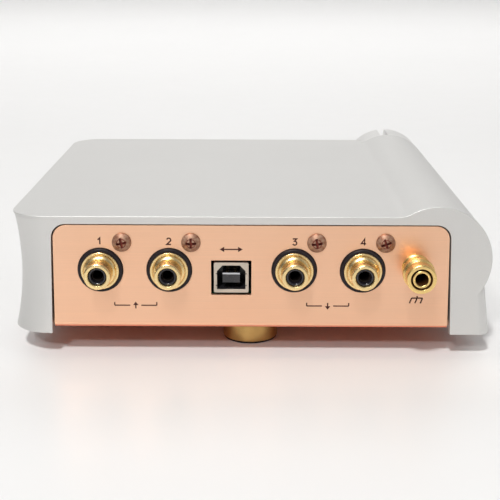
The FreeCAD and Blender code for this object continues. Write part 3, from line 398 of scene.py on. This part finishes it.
FINISH = {
    "shell_aluminium": shell_aluminium(),
    "knob_aluminium": knob_aluminium(),
    "copper_sheet": copper_sheet(),
    "gold_plate": gold("gold_plate", GOLD, 0.17),
    "contact_gold": gold("contact_gold", (0.880, 0.610, 0.250), 0.24),
    "foot_brass": foot_brass(),
    "foot_rubber": moulded("foot_rubber", (0.012, 0.012, 0.013), 0.72, 1800.0, 0.3, 0.35),
    "black_plastic": moulded("black_plastic", (0.011, 0.008, 0.011), 0.38, 3200.0, 0.12, 0.28),
    "nickel_plate": plated("nickel_plate", (0.640, 0.560, 0.470), 0.36, 0.07),
    "copper_screw": copper_screw(),
    "zinc_steel": plated("zinc_steel", (0.560, 0.570, 0.580), 0.34, 0.08, 1500.0),
    "black_steel": plated("black_steel", (0.030, 0.030, 0.034), 0.38, 0.15, 2000.0),
    "pot_housing": moulded("pot_housing", (0.060, 0.066, 0.075), 0.40, 900.0, 0.2),
    "circuit_board": circuit_board(),
    "chip_black": moulded("chip_black", (0.018, 0.018, 0.020), 0.55, 2600.0, 0.25),
    "capacitor_sleeve": can_sleeve(),
    "film_capacitor": moulded("film_capacitor", (0.330, 0.050, 0.022), 0.22, 700.0, 0.12),
    "ribbon_grey": moulded("ribbon_grey", (0.360, 0.370, 0.390), 0.48, 1200.0, 0.15),
    "lens_clear": lens_clear(),
}
RECESS_SHADE = screw_recess()
INK = printed_ink()
LINER = moulded("phono_liner_black", (0.010, 0.009, 0.013), 0.17, 2400.0, 0.05, 0.7)
INSERT = moulded("usb_insert_black", (0.018, 0.017, 0.019), 0.22, 2600.0, 0.04, 0.65)
# painted highlight: a lighter grey for the tongue's chamfered top edge, where the lamps catch it
TONGUE_EDGE_HIGHLIGHT = moulded("usb_tongue_edge_highlight", (0.120, 0.120, 0.132), 0.34, 2600.0, 0.04, 0.6)
# painted shade: the phono contacts deep in their holes and the terminal's bore are coloured dark
CONTACT_SHADE = shaded_bore("phono_contact_painted_shade", (0.035, 0.026, 0.022), 0.5)
BORE_SHADE = shaded_bore("terminal_bore_painted_shade", (0.150, 0.060, 0.020), 0.5)

for part in RECORD["subparts"]:
    o = NODES[part["node"]]
    for s in o.material_slots:
        s.material = FINISH[part["material_slot"]]


# ---------------------------------------------------------------------------
# Mesh helpers (millimetres in, metres out)
# ---------------------------------------------------------------------------
def rounded(points, step=9.0, closed=True):
    """Corner points (a, b) or (a, b, radius) as a line whose corners are rounded by arcs."""
    out, n = [], len(points)
    for k, p in enumerate(points):
        r = p[2] if len(p) > 2 else 0.0
        if r <= 0 or (not closed and k in (0, n - 1)):
            out.append((p[0], p[1]))
            continue
        c, a, b = Vector(p[:2]), Vector(points[k - 1][:2]), Vector(points[(k + 1) % n][:2])
        u, v = (a - c).normalized(), (b - c).normalized()
        turn = math.pi - u.angle(v)
        if turn < 1e-4:
            out.append((p[0], p[1]))
            continue
        cut = min(r * math.tan(turn / 2), (a - c).length * 0.499, (b - c).length * 0.499)
        r = cut / math.tan(turn / 2)
        mid = c + (u + v).normalized() * (r / math.cos(turn / 2))
        s, e = c + u * cut, c + v * cut
        sa, ea = math.atan2(s.y - mid.y, s.x - mid.x), math.atan2(e.y - mid.y, e.x - mid.x)
        d = (ea - sa + math.pi) % (2 * math.pi) - math.pi
        m = max(2, int(math.ceil(math.degrees(abs(d)) / step)))
        for i in range(m + 1):
            t = sa + d * i / m
            out.append((mid.x + r * math.cos(t), mid.y + r * math.sin(t)))
    return out


def finish_mesh(name, bm, body, mats, smooth=40.0, replaces=()):
    """A bmesh in metres becomes a piece: welded, faced outwards, shaded, riding on its body."""
    bmesh.ops.remove_doubles(bm, verts=bm.verts, dist=2e-7)
    bmesh.ops.recalc_face_normals(bm, faces=bm.faces)
    me = bpy.data.meshes.new(name)
    bm.to_mesh(me)
    bm.free()
    if "custom_normal" in me.attributes:
        me.attributes.remove(me.attributes["custom_normal"])
    for m in mats:
        me.materials.append(m)
    me.shade_smooth()
    if smooth is not None:
        me.set_sharp_from_angle(angle=math.radians(smooth))
    o = bpy.data.objects.new(name, me)
    scene.collection.objects.link(o)
    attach(o, body)
    if replaces:
        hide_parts(*replaces)
    return o


def lathe(profile, cx, cz, segs=128, axis="Y", wave=None):
    """A closed (radius, along) line turned about an axis along Y through x=cx, z=cz (or along Z through x=cx, y=cz).
    wave(angle, along, radius) gives a change of radius in millimetres."""
    bm = bmesh.new()
    rings = []
    for r, h in profile:
        if r < 1e-6:
            p = (cx * MM, h * MM, cz * MM) if axis == "Y" else (cx * MM, cz * MM, h * MM)
            rings.append([bm.verts.new(p)])
            continue
        ring = []
        for i in range(segs):
            a = 2 * math.pi * i / segs
            q = r + (wave(a, h, r) if wave else 0.0)
            x, s = cx + q * math.cos(a), cz + q * math.sin(a)
            ring.append(bm.verts.new((x * MM, h * MM, s * MM) if axis == "Y" else (x * MM, s * MM, h * MM)))
        rings.append(ring)
    for a, b in zip(rings, rings[1:] + rings[:1]):
        if len(a) == 1 and len(b) == 1:
            continue
        for i in range(segs):
            j = (i + 1) % segs
            if len(a) == 1:
                bm.faces.new((a[0], b[i], b[j]))
            elif len(b) == 1:
                bm.faces.new((a[i], a[j], b[0]))
            else:
                bm.faces.new((a[i], a[j], b[j], b[i]))
    return bm


def from_frame(nodes, flat=0.35, drop=None):
    """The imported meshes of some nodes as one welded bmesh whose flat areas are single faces."""
    bm = bmesh.new()
    for n in nodes:
        bm.from_mesh(NODES[n].data)
    bmesh.ops.remove_doubles(bm, verts=bm.verts, dist=1.5e-6)
    if drop:
        bm.normal_update()
        bmesh.ops.delete(bm, geom=[f for f in bm.faces if drop(f)], context="FACES")
        bmesh.ops.remove_doubles(bm, verts=bm.verts, dist=3e-6)
    bmesh.ops.dissolve_degenerate(bm, dist=1e-6, edges=bm.edges)
    bmesh.ops.dissolve_limit(bm, angle_limit=math.radians(flat), verts=bm.verts, edges=bm.edges)
    return bm


def soften(o, width, segments=3, angle=26.0):
    """Small rounded edges as the real part has, and flat faces that stay flat."""
    b = o.modifiers.new("edge_round", "BEVEL")
    b.limit_method = "ANGLE"
    b.angle_limit = math.radians(angle)
    b.width = width * MM
    b.segments = segments
    b.profile = 0.5
    b.use_clamp_overlap = True
    b.miter_outer = "MITER_ARC"
    w = o.modifiers.new("flat_shading", "WEIGHTED_NORMAL")
    w.weight = 60
    w.keep_sharp = False
    return o


# ---------------------------------------------------------------------------
# Top shell and sheet chassis
# ---------------------------------------------------------------------------
OUTSIDE = BVHTree.FromBMesh(from_frame(["top_shell", "chassis_rear_panel", "chassis_floor", "chassis_front_panel"]))
RAYS = []
for k in range(80):
    up_part = 1.0 - 2.0 * (k + 0.5) / 80
    flat_part = math.sqrt(1.0 - up_part * up_part)
    RAYS.append(Vector((flat_part * math.cos(k * 2.399963), flat_part * math.sin(k * 2.399963), up_part)))


def folds(bm):
    bm.normal_update()
    return [(e.verts[0].co + e.verts[1].co) / 2 for e in bm.edges
            if len(e.link_faces) == 2 and e.calc_face_angle() > math.radians(125)]


def round_open_edges(bm, width, segments, skip=None, least=24.0, shortest=0.30):
    """Rounds the outer corners that can be seen from outside; corners inside the case stay as they are.
    Where a rounding would fold over itself, the edges round that spot are left sharp and the rest is tried again."""
    before = folds(bm)
    chosen = []
    for e in bm.edges:
        if len(e.link_faces) != 2 or e.calc_length() < shortest * MM or e.calc_face_angle_signed() < math.radians(least):
            continue
        if skip and skip(e):
            continue
        way_out = (e.link_faces[0].normal + e.link_faces[1].normal).normalized()
        start = (e.verts[0].co + e.verts[1].co) / 2 + way_out * 0.00006
        free = [OUTSIDE.ray_cast(start, d)[0] is None for d in RAYS if d.dot(way_out) > 0.2]
        if sum(free) > 0.12 * len(free):
            chosen.append(e)
    bm.edges.index_update()
    places = {e.index: [v.co.copy() for v in e.verts] for e in chosen}
    for attempt in range(5):
        trial = bm.copy()
        trial.edges.ensure_lookup_table()
        marked = trial.faces.layers.int.new("rounded")
        made = bmesh.ops.bevel(trial, geom=[trial.edges[i] for i in sorted(places)], offset=width * MM, offset_type="OFFSET",
                               segments=segments, profile=0.5, affect="EDGES", clamp_overlap=False, miter_outer="ARC")
        for f in made["faces"]:
            f[marked] = 1
        new = [m for m in folds(trial) if all((m - q).length > 2e-4 for q in before)]
        if not new:
            return trial
        places = {i: ends for i, ends in places.items() if all((m - q).length > 0.0012 for m in new for q in ends)}
        trial.free()
    return bm.copy()


def keep_shading(o, plain, least=24.0):
    """Faces that were there before the rounding keep the shading of the plain shape; the rounded ones run between them."""
    me = o.data
    plain.verts.ensure_lookup_table()
    tree = KDTree(len(plain.verts))
    for v in plain.verts:
        tree.insert(v.co, v.index)
    tree.balance()
    area = {f: f.calc_area() for f in plain.faces}
    near = math.cos(math.radians(least))
    made = [d.value for d in me.attributes["rounded"].data]
    normals = [None] * len(me.loops)
    seen, around = {}, {}
    for p in me.polygons:
        for li in p.loop_indices:
            vi = me.loops[li].vertex_index
            if made[p.index]:
                around.setdefault(vi, Vector()).__iadd__(p.normal)
                continue
            total = Vector()
            for g in plain.verts[tree.find(me.vertices[vi].co)[1]].link_faces:
                if g.normal.dot(p.normal) > near:
                    total += g.normal * area[g]
            normals[li] = total.normalized() if total.length > 1e-12 else p.normal.copy()
            seen.setdefault(vi, []).append(normals[li])
    for p in me.polygons:
        if made[p.index]:
            for li in p.loop_indices:
                vi = me.loops[li].vertex_index
                normals[li] = max(seen[vi], key=lambda q: q.dot(p.normal)) if vi in seen else around[vi].normalized()
    me.normals_split_custom_set(normals)
    plain.free()


def under_lip(e):
    """The lower corners of the thin lip run into the wall at a grazing angle."""
    return all(0.0450 < v.co.z < 0.04525 for v in e.verts)


plain_shell = from_frame(["top_shell"])
bmesh.ops.dissolve_degenerate(plain_shell, dist=8e-5, edges=plain_shell.edges)
plain_shell.normal_update()
shell = finish_mesh("top_cover", round_open_edges(plain_shell, 0.12, 3, under_lip), "housing",
                    [FINISH["shell_aluminium"]], smooth=None, replaces=["top_shell"])
keep_shading(shell, plain_shell)

FOLD_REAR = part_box("chassis_rear_panel")[0].y
FOLD_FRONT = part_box("chassis_front_panel")[1].y


def on_fold(f):
    y = f.calc_center_median().y
    return abs(f.normal.y) > 0.99 and (abs(y - FOLD_REAR) < 2e-6 or abs(y - FOLD_FRONT) < 2e-6)


sheet = finish_mesh("chassis_sheet", from_frame(["chassis_rear_panel", "chassis_floor", "chassis_front_panel"], drop=on_fold),
                    "housing", [FINISH["copper_sheet"]], smooth=None,
                    replaces=["chassis_rear_panel", "chassis_floor", "chassis_front_panel"])
# painted shade: the faces under and inside the case take a deeper, redder copy of the copper, so that the shade beneath
# the case comes out redder
sheet.data.materials.append(copper_sheet("copper_sheet_underside_shade", (0.985, 0.340, 0.200), (0.985, 0.350, 0.210)))
for p in sheet.data.polygons:
    if p.normal.z < -0.5 or (p.normal.y < -0.9 and p.center.y > 0.0):
        p.material_index = 1
soften(sheet, 0.14, 2)

# ---------------------------------------------------------------------------
# Phono sockets
# ---------------------------------------------------------------------------
SHELL_LINE = rounded([
    (2.83, 55.5), (4.60, 55.5, 0.2), (4.60, 67.90), (5.90, 67.92, 0.08), (5.90, 68.55, 0.20),
    (5.26, 68.55, 0.06), (5.22, 68.22, 0.04), (5.05, 68.22, 0.03), (5.05, 68.5)], closed=False)
SHELL_LINE += [(3.656 + 1.6 * math.cos(math.radians(t)), 67.814 + 1.6 * math.sin(math.radians(t))) for t in (29.4, 35, 40, 45, 50, 55, 60, 64)]
SHELL_LINE += rounded([(4.36, 69.25), (4.15, 69.36, 0.16), (4.15, 75.0, 0.80), (3.02, 75.0, 0.10), (2.83, 74.78, 0.08), (2.83, 73.0)],
                      closed=False)[1:]
LINER_LINE = rounded([(1.98, 56.0), (2.80, 56.0), (2.80, 74.30, 0.34), (1.98, 74.30, 0.40)])
CONTACT_LINE = rounded([(1.65, 59.5), (0.0, 58.5), (0.0, 55.1), (0.90, 55.1, 0.1), (0.90, 57.0, 0.1), (1.95, 57.5, 0.15), (1.95, 72.60, 0.14), (1.65, 72.60, 0.12)],
                       closed=False)


def split_tube(a, h, r):
    """Four slits let the contact's fingers spring: shown as shallow grooves from the mouth inwards."""
    if h < 62.0 or r < 1.6:
        return 0.0
    g = abs((math.degrees(a) + 22.5) % 90.0 - 45.0)
    return -0.10 if (g < 4.5 and r > 1.7) else 0.0


for tag, (px, pz) in PHONO.items():
    finish_mesh("phono_%s_shell" % tag, lathe(SHELL_LINE, px, pz, 144), "housing",
                [gold("gold_plate_" + tag, GOLD, 0.26, px, pz)], 42.0, ["rca_shell_" + tag])
    finish_mesh("phono_%s_liner" % tag, lathe(LINER_LINE, px, pz, 96), "housing",
                [LINER], 42.0, ["rca_insulator_" + tag])
    finish_mesh("phono_%s_contact" % tag, lathe(CONTACT_LINE, px, pz, 80, wave=split_tube), "housing",
                [CONTACT_SHADE], 42.0, ["rca_contact_" + tag])
    h = finish_mesh("phono_%s_housing" % tag, from_frame(["rca_housing_" + tag]), "housing",
                    [FINISH["black_plastic"]], None, ["rca_housing_" + tag])
    soften(h, 0.12, 2)

# ---------------------------------------------------------------------------
# Ground terminal
# ---------------------------------------------------------------------------
gx, gz = GROUND
POST_LINE = rounded([(0.0, 68.0), (1.98, 69.0), (1.98, 79.92, 0.20), (2.72, 79.995, 0.26), (2.72, 53.0, 0.4), (0.0, 53.0)], closed=False)
COLLAR_LINE = rounded([(2.77, 67.03), (4.35, 67.03, 0.08), (4.35, 67.9, 0.22), (3.90, 68.25, 0.12), (3.90, 71.40, 0.24), (2.77, 71.40, 0.05)])
WASHER_LINE = rounded([(3.0, 71.50, 0.05), (4.40, 71.50, 0.20), (4.40, 72.50, 0.20), (3.0, 72.50, 0.05)])


def post_thread(a, h, r):
    """Fine thread on the post where the nut runs; it stays inside the post's own radius."""
    if r > 2.6 and 54.0 < h < 79.4:
        return -0.09 * (0.5 - 0.5 * math.cos(2 * math.pi * (h / 0.75) - a))
    return 0.0


def dense(line, lo, hi, step, radius):
    """Adds rows to the stretch of a profile at that radius, so that a pattern has points to shape."""
    out = []
    for (r0, h0), (r1, h1) in zip(line, line[1:] + line[:1]):
        out.append((r0, h0))
        if abs(r0 - radius) < 0.02 and abs(r1 - radius) < 0.02 and abs(h1 - h0) > step * 1.5:
            n = int(abs(h1 - h0) / step)
            out += [(r0 + (r1 - r0) * i / n, h0 + (h1 - h0) * i / n) for i in range(1, n)]
    return out


NUT_LINE = rounded([(3.0, 72.60, 0.05), (4.45, 72.60, 0.1), (4.95, 72.85, 0.15), (4.95, 74.32, 0.22), (4.25, 74.95, 0.35), (4.25, 76.05, 0.35),
                    (4.55, 76.75, 0.30), (4.55, 79.995, 0.50), (3.32, 79.995, 0.06), (3.22, 79.55, 0.1), (3.0, 79.2)])
NUT_LINE = dense(NUT_LINE, 0, 0, 0.11, 4.95)
NUT_LINE = dense(NUT_LINE, 0, 0, 0.11, 4.25)


def knurl(a, h, r):
    if r > 4.86 and 72.80 < h < 74.30:
        n, pitch, deep = 40, 0.50, 0.13
    elif 4.20 < r < 4.32 and 74.9 < h < 76.1:
        n, pitch, deep = 40, 0.50, 0.07
    else:
        return 0.0
    u = math.cos(n * a + 2 * math.pi * h / pitch / 2)
    v = math.cos(n * a - 2 * math.pi * h / pitch / 2)
    return -deep * (0.5 - 0.25 * (u + v))


GOLD_GROUND = gold("gold_plate_ground", (0.950, 0.670, 0.265), 0.28, gx, gz)


def shade_inside(o, test):
    """Faces of a hole take the painted-shade finish."""
    o.data.materials.append(BORE_SHADE)
    for p in o.data.polygons:
        c = p.center * 1000.0
        if test(math.hypot(c.x - gx, c.z - gz), c.y):
            p.material_index = 1


post = finish_mesh("ground_terminal_post", lathe(dense(POST_LINE, 0, 0, 0.125, 2.72), gx, gz, 96, wave=post_thread), "housing", [GOLD_GROUND], 42.0, ["ground_post"])
shade_inside(post, lambda r, y: (r < 1.99 and 68.0 < y < 79.75) or (2.5 < r and 72.0 < y < 79.72))
finish_mesh("ground_terminal_collar", lathe(COLLAR_LINE, gx, gz, 112), "housing", [GOLD_GROUND], 42.0, ["ground_collar"])
finish_mesh("ground_terminal_washer", lathe(WASHER_LINE, gx, gz, 96), "terminal_washer", [GOLD_GROUND], 42.0, ["ground_washer"])
nut = finish_mesh("ground_terminal_nut", lathe(NUT_LINE, gx, gz, 320, wave=knurl), "terminal_nut", [GOLD_GROUND], 50.0, ["ground_nut"])
shade_inside(nut, lambda r, y: r < 3.30 and y < 79.97)

# ---------------------------------------------------------------------------
# USB socket, screws, knob, headphone socket
# ---------------------------------------------------------------------------
for name, node, slot, width in (("usb_socket_shell", "usb_shell", "nickel_plate", 0.10),
                                ("usb_socket_insert", "usb_insert", "black_plastic", 0.12)):
    bm = from_frame([node])
    if node == "usb_insert":
        mid = centre("usb_shell")
        tip = max(v.co.y for v in bm.verts)
        ledge = mid.z + 1.35
        edge = [e for e in bm.edges if all(abs(v.co.y - tip) < 1e-5 and abs(v.co.z * 1000 - ledge) < 0.02 and
                                           abs(v.co.x * 1000 - mid.x) < 2.72 for v in e.verts)]
        bmesh.ops.bevel(bm, geom=edge, offset=0.40 * MM, offset_type="OFFSET", segments=1, profile=0.5, affect="EDGES")
        for v in bm.verts:
            if abs(v.co.x * 1000 - mid.x) < 2.72 and abs(v.co.y - tip) < 1e-5 and abs(v.co.z * 1000 - ledge + 0.40) < 0.02:
                v.co.z = (ledge - 0.42) * MM
            elif abs(v.co.x * 1000 - mid.x) < 2.72 and abs(v.co.y - tip + 0.40 * MM) < 2e-5 and abs(v.co.z * 1000 - ledge) < 0.02:
                v.co.y = tip - 0.30 * MM
    o = finish_mesh(name, bm, "housing", [INSERT if node == "usb_insert" else FINISH[slot]], 20.0 if node == "usb_insert" else None, [node])
    if node != "usb_insert":
        soften(o, width, 2)
        continue
    # painted highlight on the tongue's front top chamfer
    o.data.materials.append(TONGUE_EDGE_HIGHLIGHT)
    for p in o.data.polygons:
        if p.normal.y > 0.6 and p.normal.z > 0.35 and p.center.y > tip - 0.0006:
            p.material_index = 1


def cross_faces(o, node):
    """The recess faces of each screw take the painted-shade finish, dark where the recess shades itself."""
    me = o.data
    me.materials.append(RECESS_SHADE)
    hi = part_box(node)[1].y
    for p in me.polygons:
        if p.center.y < hi - 0.00022 and p.center.y > hi - 0.0016:
            near = min((Vector((p.center.x - (x + DX) * MM, p.center.z - (z + DZ) * MM)).length for x, z in PHONO.values()))
            if near < 0.00150:
                p.material_index = 1


lo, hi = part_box("jack_screws")
DX = (lo.x * 1000 + 2.98) - PHONO["in_left"][0]
DZ = (lo.z + hi.z) / 2 * 1000 - PHONO["in_left"][1]
screws = finish_mesh("jack_plate_screws", from_frame(["jack_screws"]), "housing", [FINISH["copper_screw"]], None, ["jack_screws"])
cross_faces(screws, "jack_screws")
soften(screws, 0.09, 2, 30.0)

knob = finish_mesh("volume_dial", from_frame(["volume_knob"]), "volume", [FINISH["knob_aluminium"]], None, ["volume_knob"])
soften(knob, 0.22, 3, 28.0)

hx, hz = centre("phones_sleeve").x, centre("phones_sleeve").z
SLEEVE_LINE = rounded([(3.2, -67.2), (6.6, -67.2, 0.1), (6.6, -68.1, 0.1), (5.4, -68.1, 0.05), (5.4, -72.95, 0.35), (4.6, -73.2, 0.25), (3.5, -73.2, 0.25), (3.2, -72.7, 0.2)])
finish_mesh("headphone_sleeve", lathe(SLEEVE_LINE, hx, hz, 112), "housing", [FINISH["nickel_plate"]], 42.0, ["phones_sleeve"])
nut = finish_mesh("headphone_nut", from_frame(["phones_nut"]), "housing", [FINISH["nickel_plate"]], None, ["phones_nut"])
soften(nut, 0.10, 2, 30.0)

# ---------------------------------------------------------------------------
# Feet
# ---------------------------------------------------------------------------
FOOT_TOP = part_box("foot_rear")[1].z * 1000.0
FOOT_LINE = rounded([(0.0, 2.9), (1.45, 3.6), (1.45, FOOT_TOP), (9.0, FOOT_TOP, 0.25), (9.0, 0.6, 0.28), (0.0, 0.6)], closed=False)
PAD_LINE = rounded([(0.0, 0.58), (8.75, 0.58), (8.75, 0.003, 0.2), (0.0, 0.003)], closed=False)
for tag in ("rear", "front_left", "front_right"):
    c = centre("foot_" + tag)
    finish_mesh("foot_%s_turned" % tag, lathe(FOOT_LINE, c.x, c.y, 144, "Z"), "housing", [FINISH["foot_brass"]], 42.0, ["foot_" + tag])
    finish_mesh("foot_%s_cushion" % tag, lathe(PAD_LINE, c.x, c.y, 96, "Z"), "housing", [FINISH["foot_rubber"]], 42.0, ["foot_pad_" + tag])


# ---------------------------------------------------------------------------
# Printed marks of the rear panel: plain numbers, arrows and the general ground sign
# ---------------------------------------------------------------------------
def stroke(points, width, x, z, closed=False):
    """One pen stroke on the rear panel as a thin closed plate. u runs to the viewer's right, which is -X."""
    p = [Vector(q) for q in points]
    n = len(p)
    left, right = [], []
    for k in range(n):
        a = p[k] - p[k - 1] if (k > 0 or closed) else p[1] - p[0]
        b = p[(k + 1) % n] - p[k] if (k < n - 1 or closed) else p[-1] - p[-2]
        a, b = a.normalized(), b.normalized()
        t = (a + b).normalized() if (a + b).length > 1e-6 else a
        m = Vector((-t.y, t.x)) * (width / 2 / max(0.35, t.dot(a)))
        left.append(p[k] + m)
        right.append(p[k] - m)
    return left, right, closed, x, z


def plate(bm, line, x, z, y0=-0.012, y1=0.020):
    """A closed flat outline (u, v) as a thin plate on the panel."""
    back = [bm.verts.new(((x - u) * MM, (PANEL_Y + y0) * MM, (z + v) * MM)) for u, v in line]
    front = [bm.verts.new(((x - u) * MM, (PANEL_Y + y1) * MM, (z + v) * MM)) for u, v in line]
    bm.faces.new(back[::-1])
    bm.faces.new(front)
    n = len(line)
    for k in range(n):
        bm.faces.new((back[k], back[(k + 1) % n], front[(k + 1) % n], front[k]))


def pen(bm, points, width, x, z, y1=0.020):
    left, right, _, x, z = stroke(points, width, x, z)
    plate(bm, [tuple(v) for v in left] + [tuple(v) for v in reversed(right)], x, z, y1=y1)


def arc(cx, cy, r, a0, a1, n=10, ry=None):
    return [(cx + r * math.cos(math.radians(a0 + (a1 - a0) * k / n)), cy + (ry or r) * math.sin(math.radians(a0 + (a1 - a0) * k / n))) for k in range(n + 1)]


DIGITS = {
    "1": [[(-0.26, 0.70), (0.06, 1.0), (0.06, 0.0)]],
    "2": [arc(0.0, 0.71, 0.29, 165, -38, 12) + [(-0.31, 0.03), (0.33, 0.03)]],
    "3": [[(-0.30, 0.97), (0.27, 0.97), (-0.03, 0.60)] + arc(0.0, 0.30, 0.30, 85, -160, 14)],
    "4": [[(0.14, 0.0), (0.14, 1.0), (-0.34, 0.27), (0.36, 0.27)]],
}


def mark(name, build):
    bm = bmesh.new()
    build(bm)
    o = finish_mesh(name, bm, "housing", [INK], 30.0)
    return o


def number(bm, digit, x, z, size=2.05, pen_width=0.42):
    for k, line in enumerate(DIGITS[digit]):
        pen(bm, [(u * size, (v - 0.5) * size) for u, v in line], pen_width, x, z, 0.020 + 0.002 * k)


def arrow(bm, x, z, half, pointing, width=0.38):
    """A line broken in its middle by a small arrow: up is out of the case, down is into it."""
    for e in (-1.0, 1.0):
        a, b = sorted((e * 1.75, e * half))
        plate(bm, [(a, -width / 2), (b, -width / 2), (b, width / 2), (a, width / 2)], x, z)
        tick = [(e * half - width / 2, 0.0), (e * half + width / 2, 0.0), (e * half + width / 2, 1.05), (e * half - width / 2, 1.05)]
        plate(bm, tick, x, z, y1=0.022)
    s = 1.0 if pointing == "out" else -1.0
    pen(bm, [(0.0, -1.05 * s), (0.0, 0.35 * s)], width, x, z)
    tri = [(-0.85, 0.05 * s), (0.85, 0.05 * s), (0.0, 1.20 * s)]
    plate(bm, tri if s > 0 else tri[::-1], x, z, y1=0.024)


for digit, tag in zip("1234", ("out_right", "out_left", "in_right", "in_left")):
    px, pz = PHONO[tag]
    mark("mark_number_" + digit, lambda bm: number(bm, digit, px, pz + 9.25))
out_mid = (PHONO["out_right"][0] + PHONO["out_left"][0]) / 2
in_mid = (PHONO["in_right"][0] + PHONO["in_left"][0]) / 2
low = PHONO["out_left"][1] - 11.0
mark("mark_outputs", lambda bm: arrow(bm, out_mid, low - 0.6, 6.6, "out"))
mark("mark_inputs", lambda bm: arrow(bm, in_mid, low - 0.6, 6.6, "in"))


def two_way(bm):
    ux, uz = centre("usb_shell").x, centre("usb_shell").z + 9.2
    plate(bm, [(-2.2, -0.20), (2.2, -0.20), (2.2, 0.20), (-2.2, 0.20)], ux, uz)
    for s in (1.0, -1.0):
        tri = [(s * 2.15, -0.85), (s * 3.55, 0.0), (s * 2.15, 0.85)]
        plate(bm, tri if s > 0 else tri[::-1], ux, uz, y1=0.024)


mark("mark_two_way", two_way)


def ground_sign(bm):
    x, z = gx - 0.9, gz - 10.6
    pen(bm, [(-1.75, 0.55), (1.75, 0.55)], 0.42, x, z)
    pen(bm, [(0.0, 1.25), (0.0, 0.55)], 0.42, x, z, 0.022)
    for k, u in enumerate((-1.70, 0.0, 1.70)):
        pen(bm, [(u, 0.55), (u - 0.62, -1.15)], 0.42, x, z, 0.024)


mark("mark_ground", ground_sign)

# ---------------------------------------------------------------------------
# Floor, light, camera
# ---------------------------------------------------------------------------
def floor_mat():
    f = Finish("pale_floor", (0.828, 0.824, 0.818), roughness=0.34, specular=0.45)
    cloud = f.noise(5.0, 3.0, 0.5)
    f.colour(f.mix(f.span(cloud, 0.3, 0.7), (0.822, 0.818, 0.812), (0.832, 0.828, 0.822)))
    f.roughness(f.span(f.noise(60.0, 3.0, 0.5), 0.3, 0.7, 0.32, 0.38))
    return f.mat


def sweep():
    """A pale floor that runs far back and curves up into a backdrop."""
    bm = bmesh.new()
    line = [(4.0, 0.0), (-2.5, 0.0)]
    line += [(-2.5 - 1.2 * math.sin(math.radians(t)), 1.2 - 1.2 * math.cos(math.radians(t))) for t in range(5, 91, 5)]
    line += [(-3.7, 4.2)]
    rows = [[bm.verts.new((x, y, z)) for x in (-5.0, 5.0)] for y, z in line]
    for a, b in zip(rows, rows[1:]):
        bm.faces.new((a[0], a[1], b[1], b[0]))
    bmesh.ops.recalc_face_normals(bm, faces=bm.faces)
    me = bpy.data.meshes.new("floor")
    bm.to_mesh(me)
    bm.free()
    me.materials.append(floor_mat())
    me.shade_smooth()
    o = bpy.data.objects.new("floor", me)
    scene.collection.objects.link(o)
    return o


floor = sweep()

world = bpy.data.worlds.new("studio")
scene.world = world
world.use_nodes = True
wt = world.node_tree
bg = wt.nodes["Background"]
bg.inputs["Color"].default_value = (1.0, 0.995, 0.985, 1.0)
way = wt.nodes.new("ShaderNodeTexCoord")
split = wt.nodes.new("ShaderNodeSeparateXYZ")
wt.links.new(way.outputs["Generated"], split.inputs[0])
rise = wt.nodes.new("ShaderNodeMapRange")
rise.interpolation_type = "SMOOTHSTEP"
wt.links.new(split.outputs["Z"], rise.inputs["Value"])
rise.inputs["From Min"].default_value = 0.10
rise.inputs["From Max"].default_value = 0.85
rise.inputs["To Min"].default_value = 0.10
rise.inputs["To Max"].default_value = 0.30
beside = wt.nodes.new("ShaderNodeMapRange")
beside.interpolation_type = "SMOOTHSTEP"
wt.links.new(split.outputs["X"], beside.inputs["Value"])
beside.inputs["From Min"].default_value = -0.45
beside.inputs["From Max"].default_value = -1.0
beside.inputs["To Min"].default_value = 0.0
beside.inputs["To Max"].default_value = 0.42
both = wt.nodes.new("ShaderNodeMath")
both.operation = "ADD"
wt.links.new(rise.outputs["Result"], both.inputs[0])
wt.links.new(beside.outputs["Result"], both.inputs[1])
wt.links.new(both.outputs[0], bg.inputs["Strength"])


def area(name, place, target, size, power, colour=(1.0, 1.0, 1.0), size_y=None):
    d = bpy.data.lights.new(name, "AREA")
    d.shape = "RECTANGLE"
    d.size, d.size_y = size, size_y or size
    d.energy = power
    d.color = colour
    o = bpy.data.objects.new(name, d)
    scene.collection.objects.link(o)
    o.location = place
    o.rotation_euler = (Vector(target) - Vector(place)).to_track_quat("-Z", "Y").to_euler()
    return o


FAR = 2.4
area("key_high", (0.25 * FAR, 1.00 * FAR, 1.34 * FAR), (0.0, 0.02, 0.02), 0.15 * FAR, 19.0 * FAR ** 2, (1.0, 0.995, 0.99))
area("key_low", (0.42 * FAR, 1.30 * FAR, 0.965 * FAR), (0.0, 0.02, 0.02), 0.13 * FAR, 6.6 * FAR ** 2, (1.0, 0.995, 0.99))
area("backdrop_wash", (0.0, -1.1, 2.0), (0.0, -3.7, 1.0), 3.0, 25.0, (1.0, 1.0, 1.0), 1.0)
area("floor_wash", (0.0, -1.1, 1.1), (0.0, -1.1, 0.0), 3.0, 8.2, (1.0, 1.0, 1.0), 0.8)

scene.view_settings.view_transform = "Standard"
scene.view_settings.look = "None"
scene.view_settings.exposure = 0.0
scene.view_settings.gamma = 1.0

cam = bpy.data.cameras.new("camera")
cam.lens, cam.sensor_width = 76.08, 36.0
cam.clip_start, cam.clip_end = 0.01, 20.0
camera = bpy.data.objects.new("camera", cam)
scene.collection.objects.link(camera)
yaw, pitch, roll = -0.0026, 0.2777, 0.0035
fwd = Vector((-math.sin(yaw) * math.cos(pitch), -math.cos(yaw) * math.cos(pitch), -math.sin(pitch)))
right = Vector((-math.cos(yaw), math.sin(yaw), 0.0))
up = right.cross(fwd)
r2 = right * math.cos(roll) + up * math.sin(roll)
u2 = up * math.cos(roll) - right * math.sin(roll)
rot = Matrix((r2, u2, -fwd)).transposed()
camera.matrix_world = Matrix.Translation((-0.000672, 0.381343, 0.124798)) @ rot.to_4x4()
scene.camera = camera
